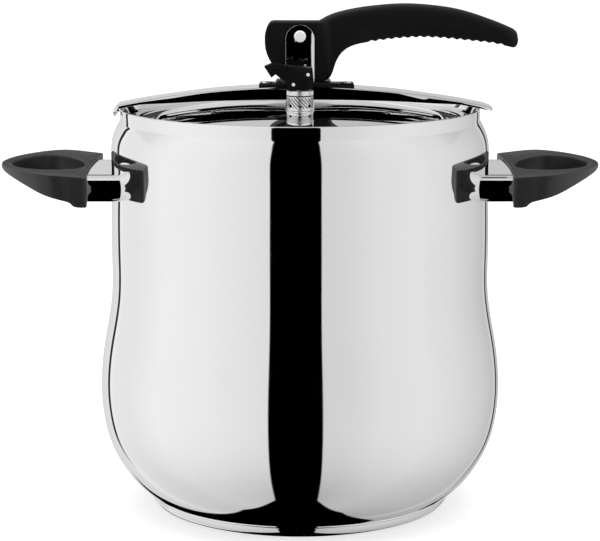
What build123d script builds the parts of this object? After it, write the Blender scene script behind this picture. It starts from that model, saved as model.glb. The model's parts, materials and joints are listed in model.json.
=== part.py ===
from build123d import *
import math
import os

# Stovetop pressure cooker with an inside lid, all sizes in millimetres.
# Origin: centre of the base's underside. +Z up, +X along the lever's arm and the side handles,
# -Y the front, where the vent valve stands.

# ---------------------------------------------------------------- pot
COLLAR_R = 110.0          # outside of the straight collar, a 22 cm mouth
RIM_Z = 247.5             # top of the rim
COLLAR_H = 8.5            # height of the straight collar
POT_WALL = 1.0
POT_FLOOR = 1.0
SEAM_Z = 8.5              # joint between pot and base pan
SEAM_IN = 15.2            # how far the seam stands inside the collar radius
BELLY = 13.7              # how far the widest point stands beyond the collar
UPPER_OUT = 5.8           # how far the upper wall stands beyond the collar
WAIST_OUT = 6.1
# outline from seam to collar: (share of that height, distance beyond the collar radius)
BODY_SHAPE = [
    (0.031, -7.2),
    (0.076, 0.9),
    (0.135, 8.1),
    (0.216, BELLY - 1.0),
    (0.306, BELLY),
    (0.413, BELLY - 2.7),
    (0.526, WAIST_OUT + 0.6),
    (0.638, WAIST_OUT),
    (0.764, UPPER_OUT + 0.2),
    (0.885, UPPER_OUT - 0.2),
    (0.962, UPPER_OUT - 1.2),
]
CREASE_OUT = 0.6          # crease under the collar, beyond the collar radius
RIM_ROUND = 1.0

# inward flange that the lid presses against from below
LEDGE_DROP = 6.5          # ledge top below the rim
LEDGE_T = 1.2
MOUTH_X = COLLAR_R - 12.0
MOUTH_Y = COLLAR_R - 18.0

# ---------------------------------------------------------------- layered base
BASE_IN = 22.8            # edge of the flat that stands on the hob, inside the collar radius
BASE_BULGE = 3.6          # roundness of the pan's side
CAP_T = 0.8
CORE_TOP = SEAM_Z - 0.6

# ---------------------------------------------------------------- side handles
HANDLE_Z = RIM_Z - 45.6   # height of the cuffs and the screws
CUFF_H = 16.0
CUFF_W = 88.0
CUFF_T = 0.8
CUFF_REACH = 10.3         # from the upper wall to the handle's inner corners
HANDLE_HALF = 58.5        # half width at the inner end
HANDLE_WIDE = 60.0        # half width at the widest place
HANDLE_L = 57.2           # from inner corners to tip
HANDLE_SAG = 2.5          # hollow of the inner end, which follows the pot
HANDLE_T = 17.6           # thickness at the inner end
HANDLE_TOP = 9.2          # top of the inner end above the cuff's middle
TIP_T = 3.2
GRIP_HOLE_X = 21.0        # half sizes of the finger opening
GRIP_HOLE_Y = 33.0
GRIP_HOLE_AT = 29.0       # its centre from the inner corners
HANDLE_ROUND = 0.3 * TIP_T
BRACKET_W = 68.0
BRACKET_H = 8.0
SCREW_Y = 24.0
SCREW_R = 2.0
SCREW_HEAD_R = 3.9
SCREW_HEAD_H = 2.4
SCREW_SEAT = 7.5          # seat of the washer from the inner corners
WASHER_R = 4.1
WASHER_T = 0.8
SCREW_GAP = 0.25

# ---------------------------------------------------------------- lid
LID_OVERLAP = 5.4         # lid edge with gasket beyond the mouth
LID_T = 1.2
LID_FLAT_R = 20.0
LID_RISE = 1.0            # top of the dome above the rim
DOME_DROP = 6.1
DOME_R = MOUTH_Y - 5.5
STEP_R = 3.5
GASKET_GAP = 0.3          # gasket under the ledge, at rest
GASKET_T = 3.2
GASKET_LIP = 1.5
GASKET_W = 7.0

# ---------------------------------------------------------------- bridge
BRIDGE_TOP = RIM_Z + 12.9
BRIDGE_T = 1.8
WEB_DEPTH = 8.1
BRIDGE_CORNER = 4.0       # rounding of the strap's corners in plan
WEB_END = COLLAR_R - 10.0
END_RISE = 0.2            # strap's underside above the rim where it rests
LEFT_END = 1.6            # ends beyond the collar
RIGHT_END = 6.8
LEFT_DROP = 4.4
RIGHT_DROP = 2.2

# ---------------------------------------------------------------- cam lever and its bracket
PAD_T = 3.0
TONGUE_STEP = 1.3         # the pad's ends are thinner than its middle
PAD_LEFT = -25.0
PAD_RIGHT = 33.0
PAD_TONGUE = 8.0
PAD_CHAMFER = 0.9
PAD_WIDE_LEFT = -15.0
PAD_WIDE_RIGHT = 19.0
PIN_Z = BRIDGE_TOP + 30.6
PIN_R = 2.6
PIN_HEAD_R = 3.5
CLIP_R = 5.0
CLIP_T = 0.9
CLIP_AT = 1.0             # spring clip's distance from the plate
GROOVE_DEPTH = 0.7
PLATE_T = 1.8
PLATE_HALF = 8.7
PLATE_TOP = 7.0           # above the pin
HEAD_HALF = 9.3           # half thickness of the lever's head
PLATE_GAP = 0.3
SLOT_GAP = 0.3
SLOT_EDGE = 1.0           # strap left between a slot and the turned-down edge
ARM_HALF = 12.3
CAM_GAP = 0.15
LIFT_ANGLE = 90.0
LID_DROP = 6.0            # how far the lid goes down as the lever is raised
BUSH_R = 4.2
RUN_GAP = 0.05            # running clearance of pin and bush
ARM_REACH = 132.2
THICK_FROM = 12.5         # where the arm widens, beside the bracket
CORE_HALF = 2.0
# side view of the lever from its pin: (distance along the arm, height)
HEAD_TOP = 8.7
HEAD_BACK = -16.4
LEVER_HEEL = [(19.7, -22.0), (22.7, -14.0), (28.0, -7.4)]
LEVER_UNDER = [(28.0, -7.4), (47.5, -2.9), (75.0, -0.9), (104.0, -3.1), (ARM_REACH - 2.2, -7.0)]
LEVER_NOSE = [(ARM_REACH - 2.2, -7.0), (ARM_REACH, -1.6), (ARM_REACH - 1.9, 3.7)]
LEVER_BACK = [
    (ARM_REACH - 1.9, 3.7),
    (112.5, 11.0),
    (96.5, 16.1),
    (63.0, 19.0),
    (33.4, 16.1),
    (14.0, 10.3),
]
HEEL_X = 15.4             # foot of the heel, level with the start of the cam
# steel core moulded into the lever, from the pin
CORE_SHAPE = [
    (-11.0, 5.0),
    (-9.0, -16.0),
    (9.0, -20.0),
    (16.0, -5.0),
    (30.0, 3.0),
    (62.0, 7.0),
    (96.0, 4.5),
    (96.0, 10.0),
    (62.0, 13.0),
    (26.0, 8.5),
    (12.0, 5.5),
]
RIVET_R = 2.0
RIVET_HEAD_R = 3.4
RIVET_HEAD_H = 0.6

# ---------------------------------------------------------------- valves in the lid
VENT_Y = -31.5
VENT_R = 8.0
VENT_H = 12.1
VENT_STEM_R = 4.5
VENT_CHAMBER_R = 6.2
CHAMBER_FLOOR = 1.8       # above the valve's seat
SAFETY_Y = 47.0
SAFETY_R = 6.0
SAFETY_H = 6.4
SAFETY_STEM_R = 3.5
SEAL_T = 2.0
NUT_T = 4.0
VENT_NUT = 14.0           # across the flats
SAFETY_NUT = 11.0
SAFETY_FOOT = 13.0
HOLE_GAP = 0.1

SEAM_R = COLLAR_R - SEAM_IN
BASE_R = COLLAR_R - BASE_IN
BASE_BULGE_R = (SEAM_R + BASE_R) / 2 + 1.3
LID_TOP = RIM_Z + LID_RISE
LEDGE_TOP = RIM_Z - LEDGE_DROP
LEDGE_UNDER = LEDGE_TOP - LEDGE_T
BAND_TOP = LEDGE_UNDER - GASKET_GAP - (GASKET_T - LID_T) / 2
UPPER_R = COLLAR_R + UPPER_OUT
HANDLE_X = UPPER_R + CUFF_REACH
PAD_TOP = BRIDGE_TOP + PAD_T
TONGUE_TOP = PAD_TOP - TONGUE_STEP
BRIDGE_HALF = HEAD_HALF + PLATE_GAP + PLATE_T + SLOT_GAP + SLOT_EDGE + BRIDGE_T


# ---------------------------------------------------------------- helpers
def post(radius, low, high, x=0.0, y=0.0):
    """Upright round bar between two heights."""
    return Pos(x, y, (low + high) / 2) * Cylinder(radius, high - low)


def bar_x(radius, low, high, y, z):
    """Round bar along X."""
    return Pos((low + high) / 2, y, z) * Rot(0, 90, 0) * Cylinder(radius, high - low)


def bar_y(radius, low, high, x, z):
    """Round bar along Y."""
    return Pos(x, (low + high) / 2, z) * Rot(90, 0, 0) * Cylinder(radius, high - low)


def block(x, y, z):
    """Box from three pairs of limits."""
    centre = Pos((x[0] + x[1]) / 2, (y[0] + y[1]) / 2, (z[0] + z[1]) / 2)
    return centre * Box(x[1] - x[0], y[1] - y[0], z[1] - z[0])


def turned(edges):
    """Solid of revolution about Z from an outline of radius and height."""
    return revolve(Plane.XZ * make_face(Wire(edges)), Axis.Z)


def hexagon(across, low, high, y):
    """Upright hexagonal nut blank."""
    flat = RegularPolygon(across / 2, 6, major_radius=False)
    return Pos(0, y, low) * extrude(flat, amount=high - low)


def oval(half_x, half_y, low, high):
    """Upright oval cylinder."""
    return Pos(0, 0, low) * extrude(Ellipse(half_x, half_y), amount=high - low)


def beside(curve, depth, count):
    """Points at one distance to the left of a flat curve."""
    points = []
    for step in range(count + 1):
        share = step / count
        along = curve % share
        points.append(curve @ share + Vector(-along.Y, along.X) * depth)
    return points


def mirrored(shape):
    """Copy for the other side of the pot, solid by solid."""
    copies = [mirror(solid, about=Plane.YZ) for solid in shape.solids()]
    return copies[0] if len(copies) == 1 else Compound(copies)


# ---------------------------------------------------------------- pot and base
def body_curve():
    """Outside of the pot from the seam to the crease under the collar."""
    low = SEAM_Z
    high = RIM_Z - COLLAR_H
    points = [(SEAM_R, low)]
    points += [(COLLAR_R + out, low + share * (high - low)) for share, out in BODY_SHAPE]
    points.append((COLLAR_R + CREASE_OUT, high))
    return Spline(*points)


def pot_outline():
    """Half section of the pot, as edges of radius and height."""
    outside = body_curve()
    crease = outside @ 1
    collar_low = (COLLAR_R, crease.Y + CREASE_OUT)
    collar_high = (COLLAR_R, RIM_Z - RIM_ROUND)
    rim_out = (COLLAR_R - RIM_ROUND, RIM_Z)
    bend = RIM_ROUND * (1 - math.sqrt(0.5))
    ledge_out = MOUTH_X + 7.0
    inner = COLLAR_R - POT_WALL
    inside_points = beside(outside, POT_WALL, 20)
    inside = Spline(*[(p.X, p.Y) for p in inside_points])
    floor_in = inside @ 0
    top_in = inside @ 1
    return [
        Line((0, CORE_TOP), (SEAM_R - 3.0, CORE_TOP)),
        Line((SEAM_R - 3.0, CORE_TOP), outside @ 0),
        outside,
        Line(crease, collar_low),
        Line(collar_low, collar_high),
        ThreePointArc(collar_high, (COLLAR_R - bend, RIM_Z - bend), rim_out),
        Line(rim_out, (rim_out[0] - 0.8, RIM_Z)),
        Line((rim_out[0] - 0.8, RIM_Z), (ledge_out - 0.2, LEDGE_TOP + 1.2)),
        Line((ledge_out - 0.2, LEDGE_TOP + 1.2), (ledge_out - 2.0, LEDGE_TOP)),
        Line((ledge_out - 2.0, LEDGE_TOP), (MOUTH_Y - 3.0, LEDGE_TOP)),
        Line((MOUTH_Y - 3.0, LEDGE_TOP), (MOUTH_Y - 3.0, LEDGE_UNDER)),
        Line((MOUTH_Y - 3.0, LEDGE_UNDER), (ledge_out + 0.5, LEDGE_UNDER)),
        Line((ledge_out + 0.5, LEDGE_UNDER), (inner, LEDGE_UNDER + 3.0)),
        Line((inner, LEDGE_UNDER + 3.0), (inner, crease.Y + CREASE_OUT)),
        Line((inner, crease.Y + CREASE_OUT), top_in),
        inside,
        Line(floor_in, (SEAM_R - 4.0, CORE_TOP + POT_FLOOR)),
        Line((SEAM_R - 4.0, CORE_TOP + POT_FLOOR), (0, CORE_TOP + POT_FLOOR)),
        Line((0, CORE_TOP + POT_FLOOR), (0, CORE_TOP)),
    ]


def make_pot_body():
    """Deep-drawn pot with an inward flange and an oval mouth."""
    shell = turned(pot_outline())
    return shell - oval(MOUTH_X, MOUTH_Y, LEDGE_UNDER - 1, RIM_Z + 1)


def make_pot_block():
    """The pot without its hollow, for cutting what is welded to its wall."""
    outside = body_curve()
    top = outside @ 1
    return turned([
        outside,
        Line(top, (0, top.Y)),
        Line((0, top.Y), (0, SEAM_Z)),
        Line((0, SEAM_Z), outside @ 0),
    ])


def make_base_cap():
    """Thin steel pan pressed round the core."""
    side = ThreePointArc((BASE_R, 0), (BASE_BULGE_R, BASE_BULGE), (SEAM_R, SEAM_Z))
    inner = ThreePointArc(
        (BASE_R - 0.6, CAP_T),
        (BASE_BULGE_R - CAP_T, BASE_BULGE + 0.5),
        (SEAM_R - 1.4, CORE_TOP + 0.25),
    )
    edges = [
        Line((0, 0), (BASE_R, 0)),
        side,
        Line((SEAM_R, SEAM_Z), (SEAM_R - 1.4, CORE_TOP + 0.25)),
        inner,
        Line((BASE_R - 0.6, CAP_T), (0, CAP_T)),
        Line((0, CAP_T), (0, 0)),
    ]
    return turned(edges)


def make_base_core():
    """Aluminium disc that spreads the heat."""
    return chamfer(post(BASE_R - 1.0, CAP_T, CORE_TOP).edges(), 0.5)


# ---------------------------------------------------------------- side handles
def handle_plan():
    """Plan of the right handle, a blunt wing with a hollow inner end."""
    corner = (HANDLE_X, HANDLE_HALF)
    wide = (HANDLE_X + 22.5, HANDLE_WIDE)
    tip = (HANDLE_X + HANDLE_L, 0)
    side = Spline(
        wide,
        (HANDLE_X + 34.5, HANDLE_WIDE - 9.0),
        (HANDLE_X + 47.0, HANDLE_WIDE - 26.5),
        tip,
        tangents=[(1, -0.12), (0, -1)],
    )
    edge = Line(corner, wide)
    inner = ThreePointArc((HANDLE_X, -HANDLE_HALF), (HANDLE_X + HANDLE_SAG, 0), corner)
    far = mirror(Curve() + [side, edge], about=Plane.XZ).edges()
    return make_face(Wire([inner, edge, side] + list(far)))


def handle_side():
    """Side view of the right handle: full at the pot, thin and raised at the tip."""
    top = HANDLE_Z + HANDLE_TOP
    low = top - HANDLE_T
    start = HANDLE_X - 1.0
    end = HANDLE_X + HANDLE_L + 1.0
    upper = Spline(
        (start, top),
        (HANDLE_X + 24.0, top + 2.3),
        (end, top + 2.6),
        tangents=[(1, 0.12), (1, -0.12)],
    )
    lower = Spline(
        (end, top + 2.6 - TIP_T),
        (HANDLE_X + 34.5, low + 10.4),
        (HANDLE_X + 17.5, low + 4.4),
        (start, low),
    )
    ends = [Line(upper @ 1, lower @ 0), Line(lower @ 1, upper @ 0)]
    return make_face(Wire([upper, ends[0], lower, ends[1]]))


def make_side_handle():
    """Right bakelite handle with its finger opening and screw seats."""
    plan = Pos(0, 0, HANDLE_Z - 20) * extrude(handle_plan(), amount=40)
    side = extrude(Plane.XZ * handle_side(), amount=HANDLE_WIDE + 5, both=True)
    body = plan & side
    hole = Pos(HANDLE_X + GRIP_HOLE_AT, 0, HANDLE_Z - 20) * extrude(
        Ellipse(GRIP_HOLE_X, GRIP_HOLE_Y), amount=40
    )
    body = fillet(body.edges(), HANDLE_ROUND) - hole
    seat = HANDLE_X + SCREW_SEAT
    for y in (-SCREW_Y, SCREW_Y):
        body -= bar_x(WASHER_R + SCREW_GAP, seat, HANDLE_X + GRIP_HOLE_AT, y, HANDLE_Z)
        body -= bar_x(SCREW_R + SCREW_GAP, HANDLE_X - 2, seat + 1, y, HANDLE_Z)
    return body


def make_handle_bracket(pot_block):
    """Steel bar welded to the right of the pot, tapped for the screws."""
    inner_x = HANDLE_X + 0.6
    bar = block((UPPER_R - 25, inner_x), (-BRACKET_W / 2, BRACKET_W / 2),
                (HANDLE_Z - BRACKET_H / 2, HANDLE_Z + BRACKET_H / 2))
    bar -= pot_block
    for y in (-SCREW_Y, SCREW_Y):
        bar -= bar_x(SCREW_R, inner_x - 9.0, inner_x + 1, y, HANDLE_Z)
    return bar


def make_handle_cuff(pot_block):
    """Polished sleeve round the right bracket, from the pot's wall to the handle."""
    near = UPPER_R - 25
    length = HANDLE_X + HANDLE_SAG + 2.0 - near
    place = Plane(origin=(near, 0, HANDLE_Z), x_dir=(0, 1, 0), z_dir=(1, 0, 0))
    outer = extrude(place * SlotOverall(CUFF_W, CUFF_H), amount=length)
    inner = extrude(place * SlotOverall(CUFF_W - 2 * CUFF_T, CUFF_H - 2 * CUFF_T), amount=length)
    plan = Pos(0, 0, HANDLE_Z - 20) * extrude(handle_plan(), amount=40)
    return outer - inner - pot_block - plan


def make_handle_screws():
    """Two screws that hold the right handle, driven from its opening."""
    seat = HANDLE_X + SCREW_SEAT + WASHER_T
    screws = []
    for y in (-SCREW_Y, SCREW_Y):
        shank = bar_x(SCREW_R - HOLE_GAP, HANDLE_X - 7.5, seat, y, HANDLE_Z)
        head = chamfer(bar_x(SCREW_HEAD_R, seat, seat + SCREW_HEAD_H, y, HANDLE_Z).edges(), 0.4)
        slot = block((seat + SCREW_HEAD_H - 1.1, seat + SCREW_HEAD_H + 1), (y - 5, y + 5),
                     (HANDLE_Z - 0.5, HANDLE_Z + 0.5))
        screws.append(shank + head - slot)
    return Compound(screws)


def make_handle_washers():
    """Washers under the screws of the right handle."""
    seat = HANDLE_X + SCREW_SEAT
    washers = []
    for y in (-SCREW_Y, SCREW_Y):
        disc = bar_x(WASHER_R, seat, seat + WASHER_T, y, HANDLE_Z)
        washers.append(disc - bar_x(SCREW_R + HOLE_GAP, seat - 1, seat + 2, y, HANDLE_Z))
    return Compound(washers)


# ---------------------------------------------------------------- lid
def seat_levels(y, radius):
    """Heights of the flat pressed into the dome for a valve: underside and top."""
    run = DOME_R - LID_FLAT_R
    curve = (run * run + DOME_DROP * DOME_DROP) / (2 * DOME_DROP)
    drop_near = max(abs(y) - radius - LID_FLAT_R, 0.0) ** 2 / (2 * curve)
    drop_far = (abs(y) + radius - LID_FLAT_R) ** 2 / (2 * curve)
    return LID_TOP - LID_T - drop_far - 0.1, LID_TOP - drop_near


VENT_UNDER, VENT_SEAT = seat_levels(VENT_Y, VENT_R + 1.0)
SAFETY_UNDER, SAFETY_SEAT = seat_levels(SAFETY_Y, SAFETY_R + 1.5)


def make_lid():
    """Oval pressed lid: flat centre, dome, step and level band for the gasket."""
    run = DOME_R - LID_FLAT_R
    curve = (run * run + DOME_DROP * DOME_DROP) / (2 * DOME_DROP)
    half = run / 2
    mid_drop = curve - math.sqrt(curve * curve - half * half)
    dome_edge = LID_TOP - DOME_DROP
    edge = MOUTH_X + LID_OVERLAP + 4
    lines = []
    for down in (0.0, LID_T):
        lines.append([
            Line((0, LID_TOP - down), (LID_FLAT_R, LID_TOP - down)),
            ThreePointArc(
                (LID_FLAT_R, LID_TOP - down),
                (LID_FLAT_R + half, LID_TOP - mid_drop - down),
                (DOME_R, dome_edge - down),
            ),
            Line((DOME_R, dome_edge - down), (DOME_R + STEP_R, BAND_TOP - down)),
            Line((DOME_R + STEP_R, BAND_TOP - down), (edge, BAND_TOP - down)),
        ])
    ends = [
        Line((edge, BAND_TOP), (edge, BAND_TOP - LID_T)),
        Line((0, LID_TOP), (0, LID_TOP - LID_T)),
    ]
    disc = turned(lines[0] + lines[1] + ends)
    half_x = MOUTH_X + LID_OVERLAP - GASKET_LIP
    half_y = MOUTH_Y + LID_OVERLAP - GASKET_LIP
    disc = disc & oval(half_x, half_y, BAND_TOP - 20, LID_TOP + 1)
    disc += post(VENT_R + 1.0, VENT_UNDER, VENT_SEAT, 0, VENT_Y)
    disc += post(SAFETY_R + 1.5, SAFETY_UNDER, SAFETY_SEAT, 0, SAFETY_Y)
    disc -= post(VENT_STEM_R + HOLE_GAP, VENT_UNDER - 5, VENT_SEAT + 5, 0, VENT_Y)
    disc -= post(SAFETY_STEM_R + HOLE_GAP, SAFETY_UNDER - 5, SAFETY_SEAT + 5, 0, SAFETY_Y)
    for x, y in rivet_places():
        disc -= post(RIVET_R, LID_TOP - 5, LID_TOP + 5, x, y)
    return disc


def make_lid_gasket():
    """Rubber ring clipped over the lid's band."""
    half_x = MOUTH_X + LID_OVERLAP
    half_y = MOUTH_Y + LID_OVERLAP
    top = LEDGE_UNDER - GASKET_GAP
    low = top - GASKET_T
    ring = fillet(oval(half_x, half_y, low, top).edges(), 1.0)
    ring -= oval(half_x - GASKET_W, half_y - GASKET_W, low - 1, top + 1)
    return ring - oval(half_x - GASKET_LIP, half_y - GASKET_LIP, BAND_TOP - LID_T, BAND_TOP)


# ---------------------------------------------------------------- bridge
def strap_edges():
    """Underside and top of the strap in side view, each from the left tip to the right tip."""
    under = BRIDGE_TOP - BRIDGE_T
    rest = RIM_Z + END_RISE
    left_x = -COLLAR_R + 0.5
    right_x = COLLAR_R - 0.5
    left_tip = (-COLLAR_R - LEFT_END, rest - LEFT_DROP)
    right_tip = (COLLAR_R + RIGHT_END, rest - RIGHT_DROP)
    arch = ThreePointArc((left_x, rest), (0, under), (right_x, rest))
    left = TangentArc(arch @ 0, left_tip, tangent=-(arch % 0))
    right = TangentArc(arch @ 1, right_tip, tangent=arch % 1)
    bend = left @ 0.5
    lower = [ThreePointArc(left_tip, (bend.X, bend.Y), (left_x, rest)), arch, right]
    upper = []
    for edge in lower:
        points = beside(edge, BRIDGE_T, 2)
        upper.append(ThreePointArc(*[(point.X, point.Y) for point in points]))
    return lower, upper


def strap_height(x):
    """Height of the strap's underside at a distance from the middle."""
    half = COLLAR_R - 0.5
    rise = BRIDGE_TOP - BRIDGE_T - RIM_Z - END_RISE
    curve = (half * half + rise * rise) / (2 * rise)
    return BRIDGE_TOP - BRIDGE_T - curve + math.sqrt(curve * curve - x * x)


def make_web(half):
    """Blank of the turned-down edges, in side view, across a width."""
    end = strap_height(WEB_END)
    left_low = (-WEB_END, end + 0.4)
    right_low = (WEB_END, end + 0.4)
    left_high = (-WEB_END, end + 1.0)
    right_high = (WEB_END, end + 1.0)
    edges = [
        ThreePointArc(left_low, (0, BRIDGE_TOP - WEB_DEPTH), right_low),
        Line(right_low, right_high),
        ThreePointArc(right_high, (0, BRIDGE_TOP - BRIDGE_T + 0.9), left_high),
        Line(left_high, left_low),
    ]
    return extrude(Plane.XZ * make_face(Wire(edges)), amount=half, both=True)


def make_bridge():
    """Arched strap across the mouth with turned-down edges and slots for the bracket."""
    lower, upper = strap_edges()
    tips = [Line(lower[0] @ 0, upper[0] @ 0), Line(lower[2] @ 1, upper[2] @ 1)]
    strap_face = make_face(Wire(lower + upper + tips))
    strap = extrude(Plane.XZ * strap_face, amount=BRIDGE_HALF, both=True)
    bridge = strap + (make_web(BRIDGE_HALF) - make_web(BRIDGE_HALF - BRIDGE_T))
    for side in (-1, 1):
        bridge -= plate_slot(side)
    for x in pad_rivet_places():
        bridge -= post(RIVET_R, BRIDGE_TOP - 8, BRIDGE_TOP + 5, x, 0)
    plan = block(
        (-COLLAR_R - LEFT_END - 5, COLLAR_R + RIGHT_END + 0.6),
        (-BRIDGE_HALF, BRIDGE_HALF),
        (RIM_Z - 20, BRIDGE_TOP + 5),
    )
    return bridge & fillet(plan.edges().filter_by(Axis.Z), BRIDGE_CORNER)


def plate_slot(side):
    """Cut that lets one bracket plate through the bridge and the pad."""
    inner = HEAD_HALF + PLATE_GAP
    span = sorted((side * (inner - SLOT_GAP), side * (inner + PLATE_T + SLOT_GAP)))
    half = PLATE_HALF + 2 * SLOT_GAP
    return block((-half, half), span, (BRIDGE_TOP - BRIDGE_T - 3, PAD_TOP + 1))


def pad_rivet_places():
    """Rivets near the two ends of the pad's tongue."""
    return PAD_LEFT + 5.0, PAD_RIGHT - 5.0


def make_cam_pad():
    """Hard plate on the bridge that the lever's head bears on."""
    low = BRIDGE_TOP - 1.2
    tongue = block((PAD_LEFT, PAD_RIGHT), (-PAD_TONGUE, PAD_TONGUE), (low, TONGUE_TOP))
    tongue = chamfer(tongue.faces().sort_by(Axis.Z)[-1].edges(), PAD_CHAMFER)
    half = BRIDGE_HALF - 0.5
    wide = block((PAD_WIDE_LEFT, PAD_WIDE_RIGHT), (-half, half), (low, PAD_TOP))
    wide = chamfer(wide.faces().sort_by(Axis.Z)[-1].edges(), PAD_CHAMFER)
    pad = tongue + wide
    arch = strap_edges()[1][1]
    left = arch @ 0
    right = arch @ 1
    deep = BRIDGE_TOP - 40
    under = make_face(Wire([
        arch,
        Line(right, (right.X, deep)),
        Line((right.X, deep), (left.X, deep)),
        Line((left.X, deep), left),
    ]))
    pad -= extrude(Plane.XZ * under, amount=BRIDGE_HALF + 2, both=True)
    for side in (-1, 1):
        pad -= plate_slot(side)
    for x in pad_rivet_places():
        pad -= post(RIVET_R, BRIDGE_TOP - 8, PAD_TOP + 5, x, 0)
    return pad


def rivet(x, y, low, high):
    """Rivet with a domed head at each end, gripping what lies between two heights."""
    shank = post(RIVET_R, low, high, x, y)
    upper = post(RIVET_HEAD_R, high, high + RIVET_HEAD_H, x, y)
    lower = post(RIVET_HEAD_R, low - RIVET_HEAD_H, low, x, y)
    upper = fillet(upper.edges().sort_by(Axis.Z)[-1], RIVET_HEAD_H * 0.7)
    lower = fillet(lower.edges().sort_by(Axis.Z)[0], RIVET_HEAD_H * 0.7)
    return shank + upper + lower


def make_pad_rivets():
    """Rivets that hold the pad on the bridge."""
    rivets = []
    for x in pad_rivet_places():
        low = strap_height(abs(x) + RIVET_HEAD_R) - 0.02
        rivets.append(rivet(x, 0, low, TONGUE_TOP))
    return Compound(rivets)


# ---------------------------------------------------------------- bracket and lever
def rivet_places():
    """Rivets of the bracket, in the lid's flat centre."""
    return [(x, y) for x in (-4.8, 4.8) for y in (-5.0, 5.0)]


def make_lever_bracket():
    """Two upright plates joined by a foot, riveted to the lid."""
    inner = HEAD_HALF + PLATE_GAP
    outer = inner + PLATE_T
    top = PIN_Z + PLATE_TOP
    shoulder = PIN_Z - 1.5
    plate = make_face(Wire([
        Line((-PLATE_HALF, LID_TOP), (PLATE_HALF, LID_TOP)),
        Line((PLATE_HALF, LID_TOP), (PLATE_HALF, shoulder)),
        ThreePointArc((PLATE_HALF, shoulder), (0, top), (-PLATE_HALF, shoulder)),
        Line((-PLATE_HALF, shoulder), (-PLATE_HALF, LID_TOP)),
    ]))
    full = extrude(Plane.XZ * plate, amount=outer, both=True)
    hollow = block((-20, 20), (-inner, inner), (LID_TOP + PLATE_T, top + 5))
    bracket = full - hollow - bar_y(PIN_R, -20, 20, 0, PIN_Z)
    for x, y in rivet_places():
        bracket -= post(RIVET_R, LID_TOP - 5, LID_TOP + 5, x, y)
    return bracket


def make_bracket_rivets():
    """Four rivets from the bracket's foot through the lid."""
    return Compound([rivet(x, y, LID_TOP - LID_T, LID_TOP + PLATE_T) for x, y in rivet_places()])


def make_lever_pin():
    """Pin through both plates, with a round head in front and a groove behind."""
    outer = HEAD_HALF + PLATE_GAP + PLATE_T
    shank = bar_y(PIN_R, -outer, outer + 3.0, 0, PIN_Z)
    head = bar_y(PIN_HEAD_R, -outer - 1.4, -outer, 0, PIN_Z)
    head = fillet(head.edges().sort_by(Axis.Y)[0], 0.9)
    groove = bar_y(PIN_R + 1, outer + CLIP_AT - 0.1, outer + CLIP_AT + CLIP_T + 0.1, 0, PIN_Z)
    groove -= bar_y(PIN_R - GROOVE_DEPTH, outer, outer + 3, 0, PIN_Z)
    return shank + head - groove


def make_pin_clip():
    """Spring clip in the pin's groove."""
    outer = HEAD_HALF + PLATE_GAP + PLATE_T
    ring = bar_y(CLIP_R, outer + CLIP_AT, outer + CLIP_AT + CLIP_T, 0, PIN_Z)
    ring -= bar_y(PIN_R - GROOVE_DEPTH + 0.05, outer, outer + 3, 0, PIN_Z)
    return ring - block((-1.4, 1.4), (outer, outer + 4), (PIN_Z - 8, PIN_Z - 1))


def cam_points(count=8):
    """Cam curve of the head: it lets the lid down evenly as the lever turns."""
    start = PIN_Z - PAD_TOP - CAM_GAP
    slope = LID_DROP / math.radians(LIFT_ANGLE)
    points = []
    for step in range(count + 1):
        turn = math.radians((LIFT_ANGLE + 4.0) * step / count)
        reach = start - slope * turn
        x = -reach * math.sin(turn) + slope * math.cos(turn)
        z = -reach * math.cos(turn) - slope * math.sin(turn)
        points.append((x, PIN_Z + z))
    return points


def from_pin(places):
    """Points of the side view, given from the lever's pin."""
    return [(x, PIN_Z + z) for x, z in places]


def lever_outline():
    """Side view of the lever: cam head, then a long arm that droops at its end."""
    top = PIN_Z + HEAD_TOP
    cam = Spline(*cam_points())
    low = cam @ 0
    side = cam @ 1
    heel_points = [(HEEL_X, low.Y)] + from_pin(LEVER_HEEL)
    back_points = from_pin(LEVER_BACK)
    heel = Spline(*heel_points, tangents=[(1, 0.9), (1, 0.7)])
    underside = Spline(*from_pin(LEVER_UNDER), tangents=[(1, 0.45), (1, -0.36)])
    nose = ThreePointArc(*from_pin(LEVER_NOSE))
    back = Spline(*back_points, tangents=[(-1, 0.85), (-1, -0.62)])
    neck = (THICK_FROM, top)
    corner = (HEAD_BACK, top)
    return Wire([
        Line(low, heel_points[0]),
        heel,
        underside,
        nose,
        back,
        Line(back_points[-1], neck),
        Line(neck, corner),
        Line(corner, side),
        cam,
    ])


def make_lever_grip():
    """Bakelite lever: thin head between the plates, wide arm to the right of them."""
    arm = extrude(Plane.XZ * make_face(lever_outline()), amount=ARM_HALF, both=True)
    narrow = block((-60, THICK_FROM), (HEAD_HALF, 40), (PIN_Z - 60, PIN_Z + 60))
    arm -= narrow
    arm -= mirror(narrow, about=Plane.XZ)
    arm -= bar_y(BUSH_R, -20, 20, 0, PIN_Z)
    return arm - make_lever_core()


def make_lever_core():
    """Steel core inside the lever, round the bush."""
    plate = make_face(Polyline(*from_pin(CORE_SHAPE), close=True))
    return extrude(Plane.XZ * plate, amount=CORE_HALF, both=True) - bar_y(BUSH_R, -20, 20, 0, PIN_Z)


def make_lever_bush():
    """Bearing sleeve moulded into the lever."""
    tube = bar_y(BUSH_R, -HEAD_HALF, HEAD_HALF, 0, PIN_Z)
    return tube - bar_y(PIN_R + RUN_GAP, -20, 20, 0, PIN_Z)


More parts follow.
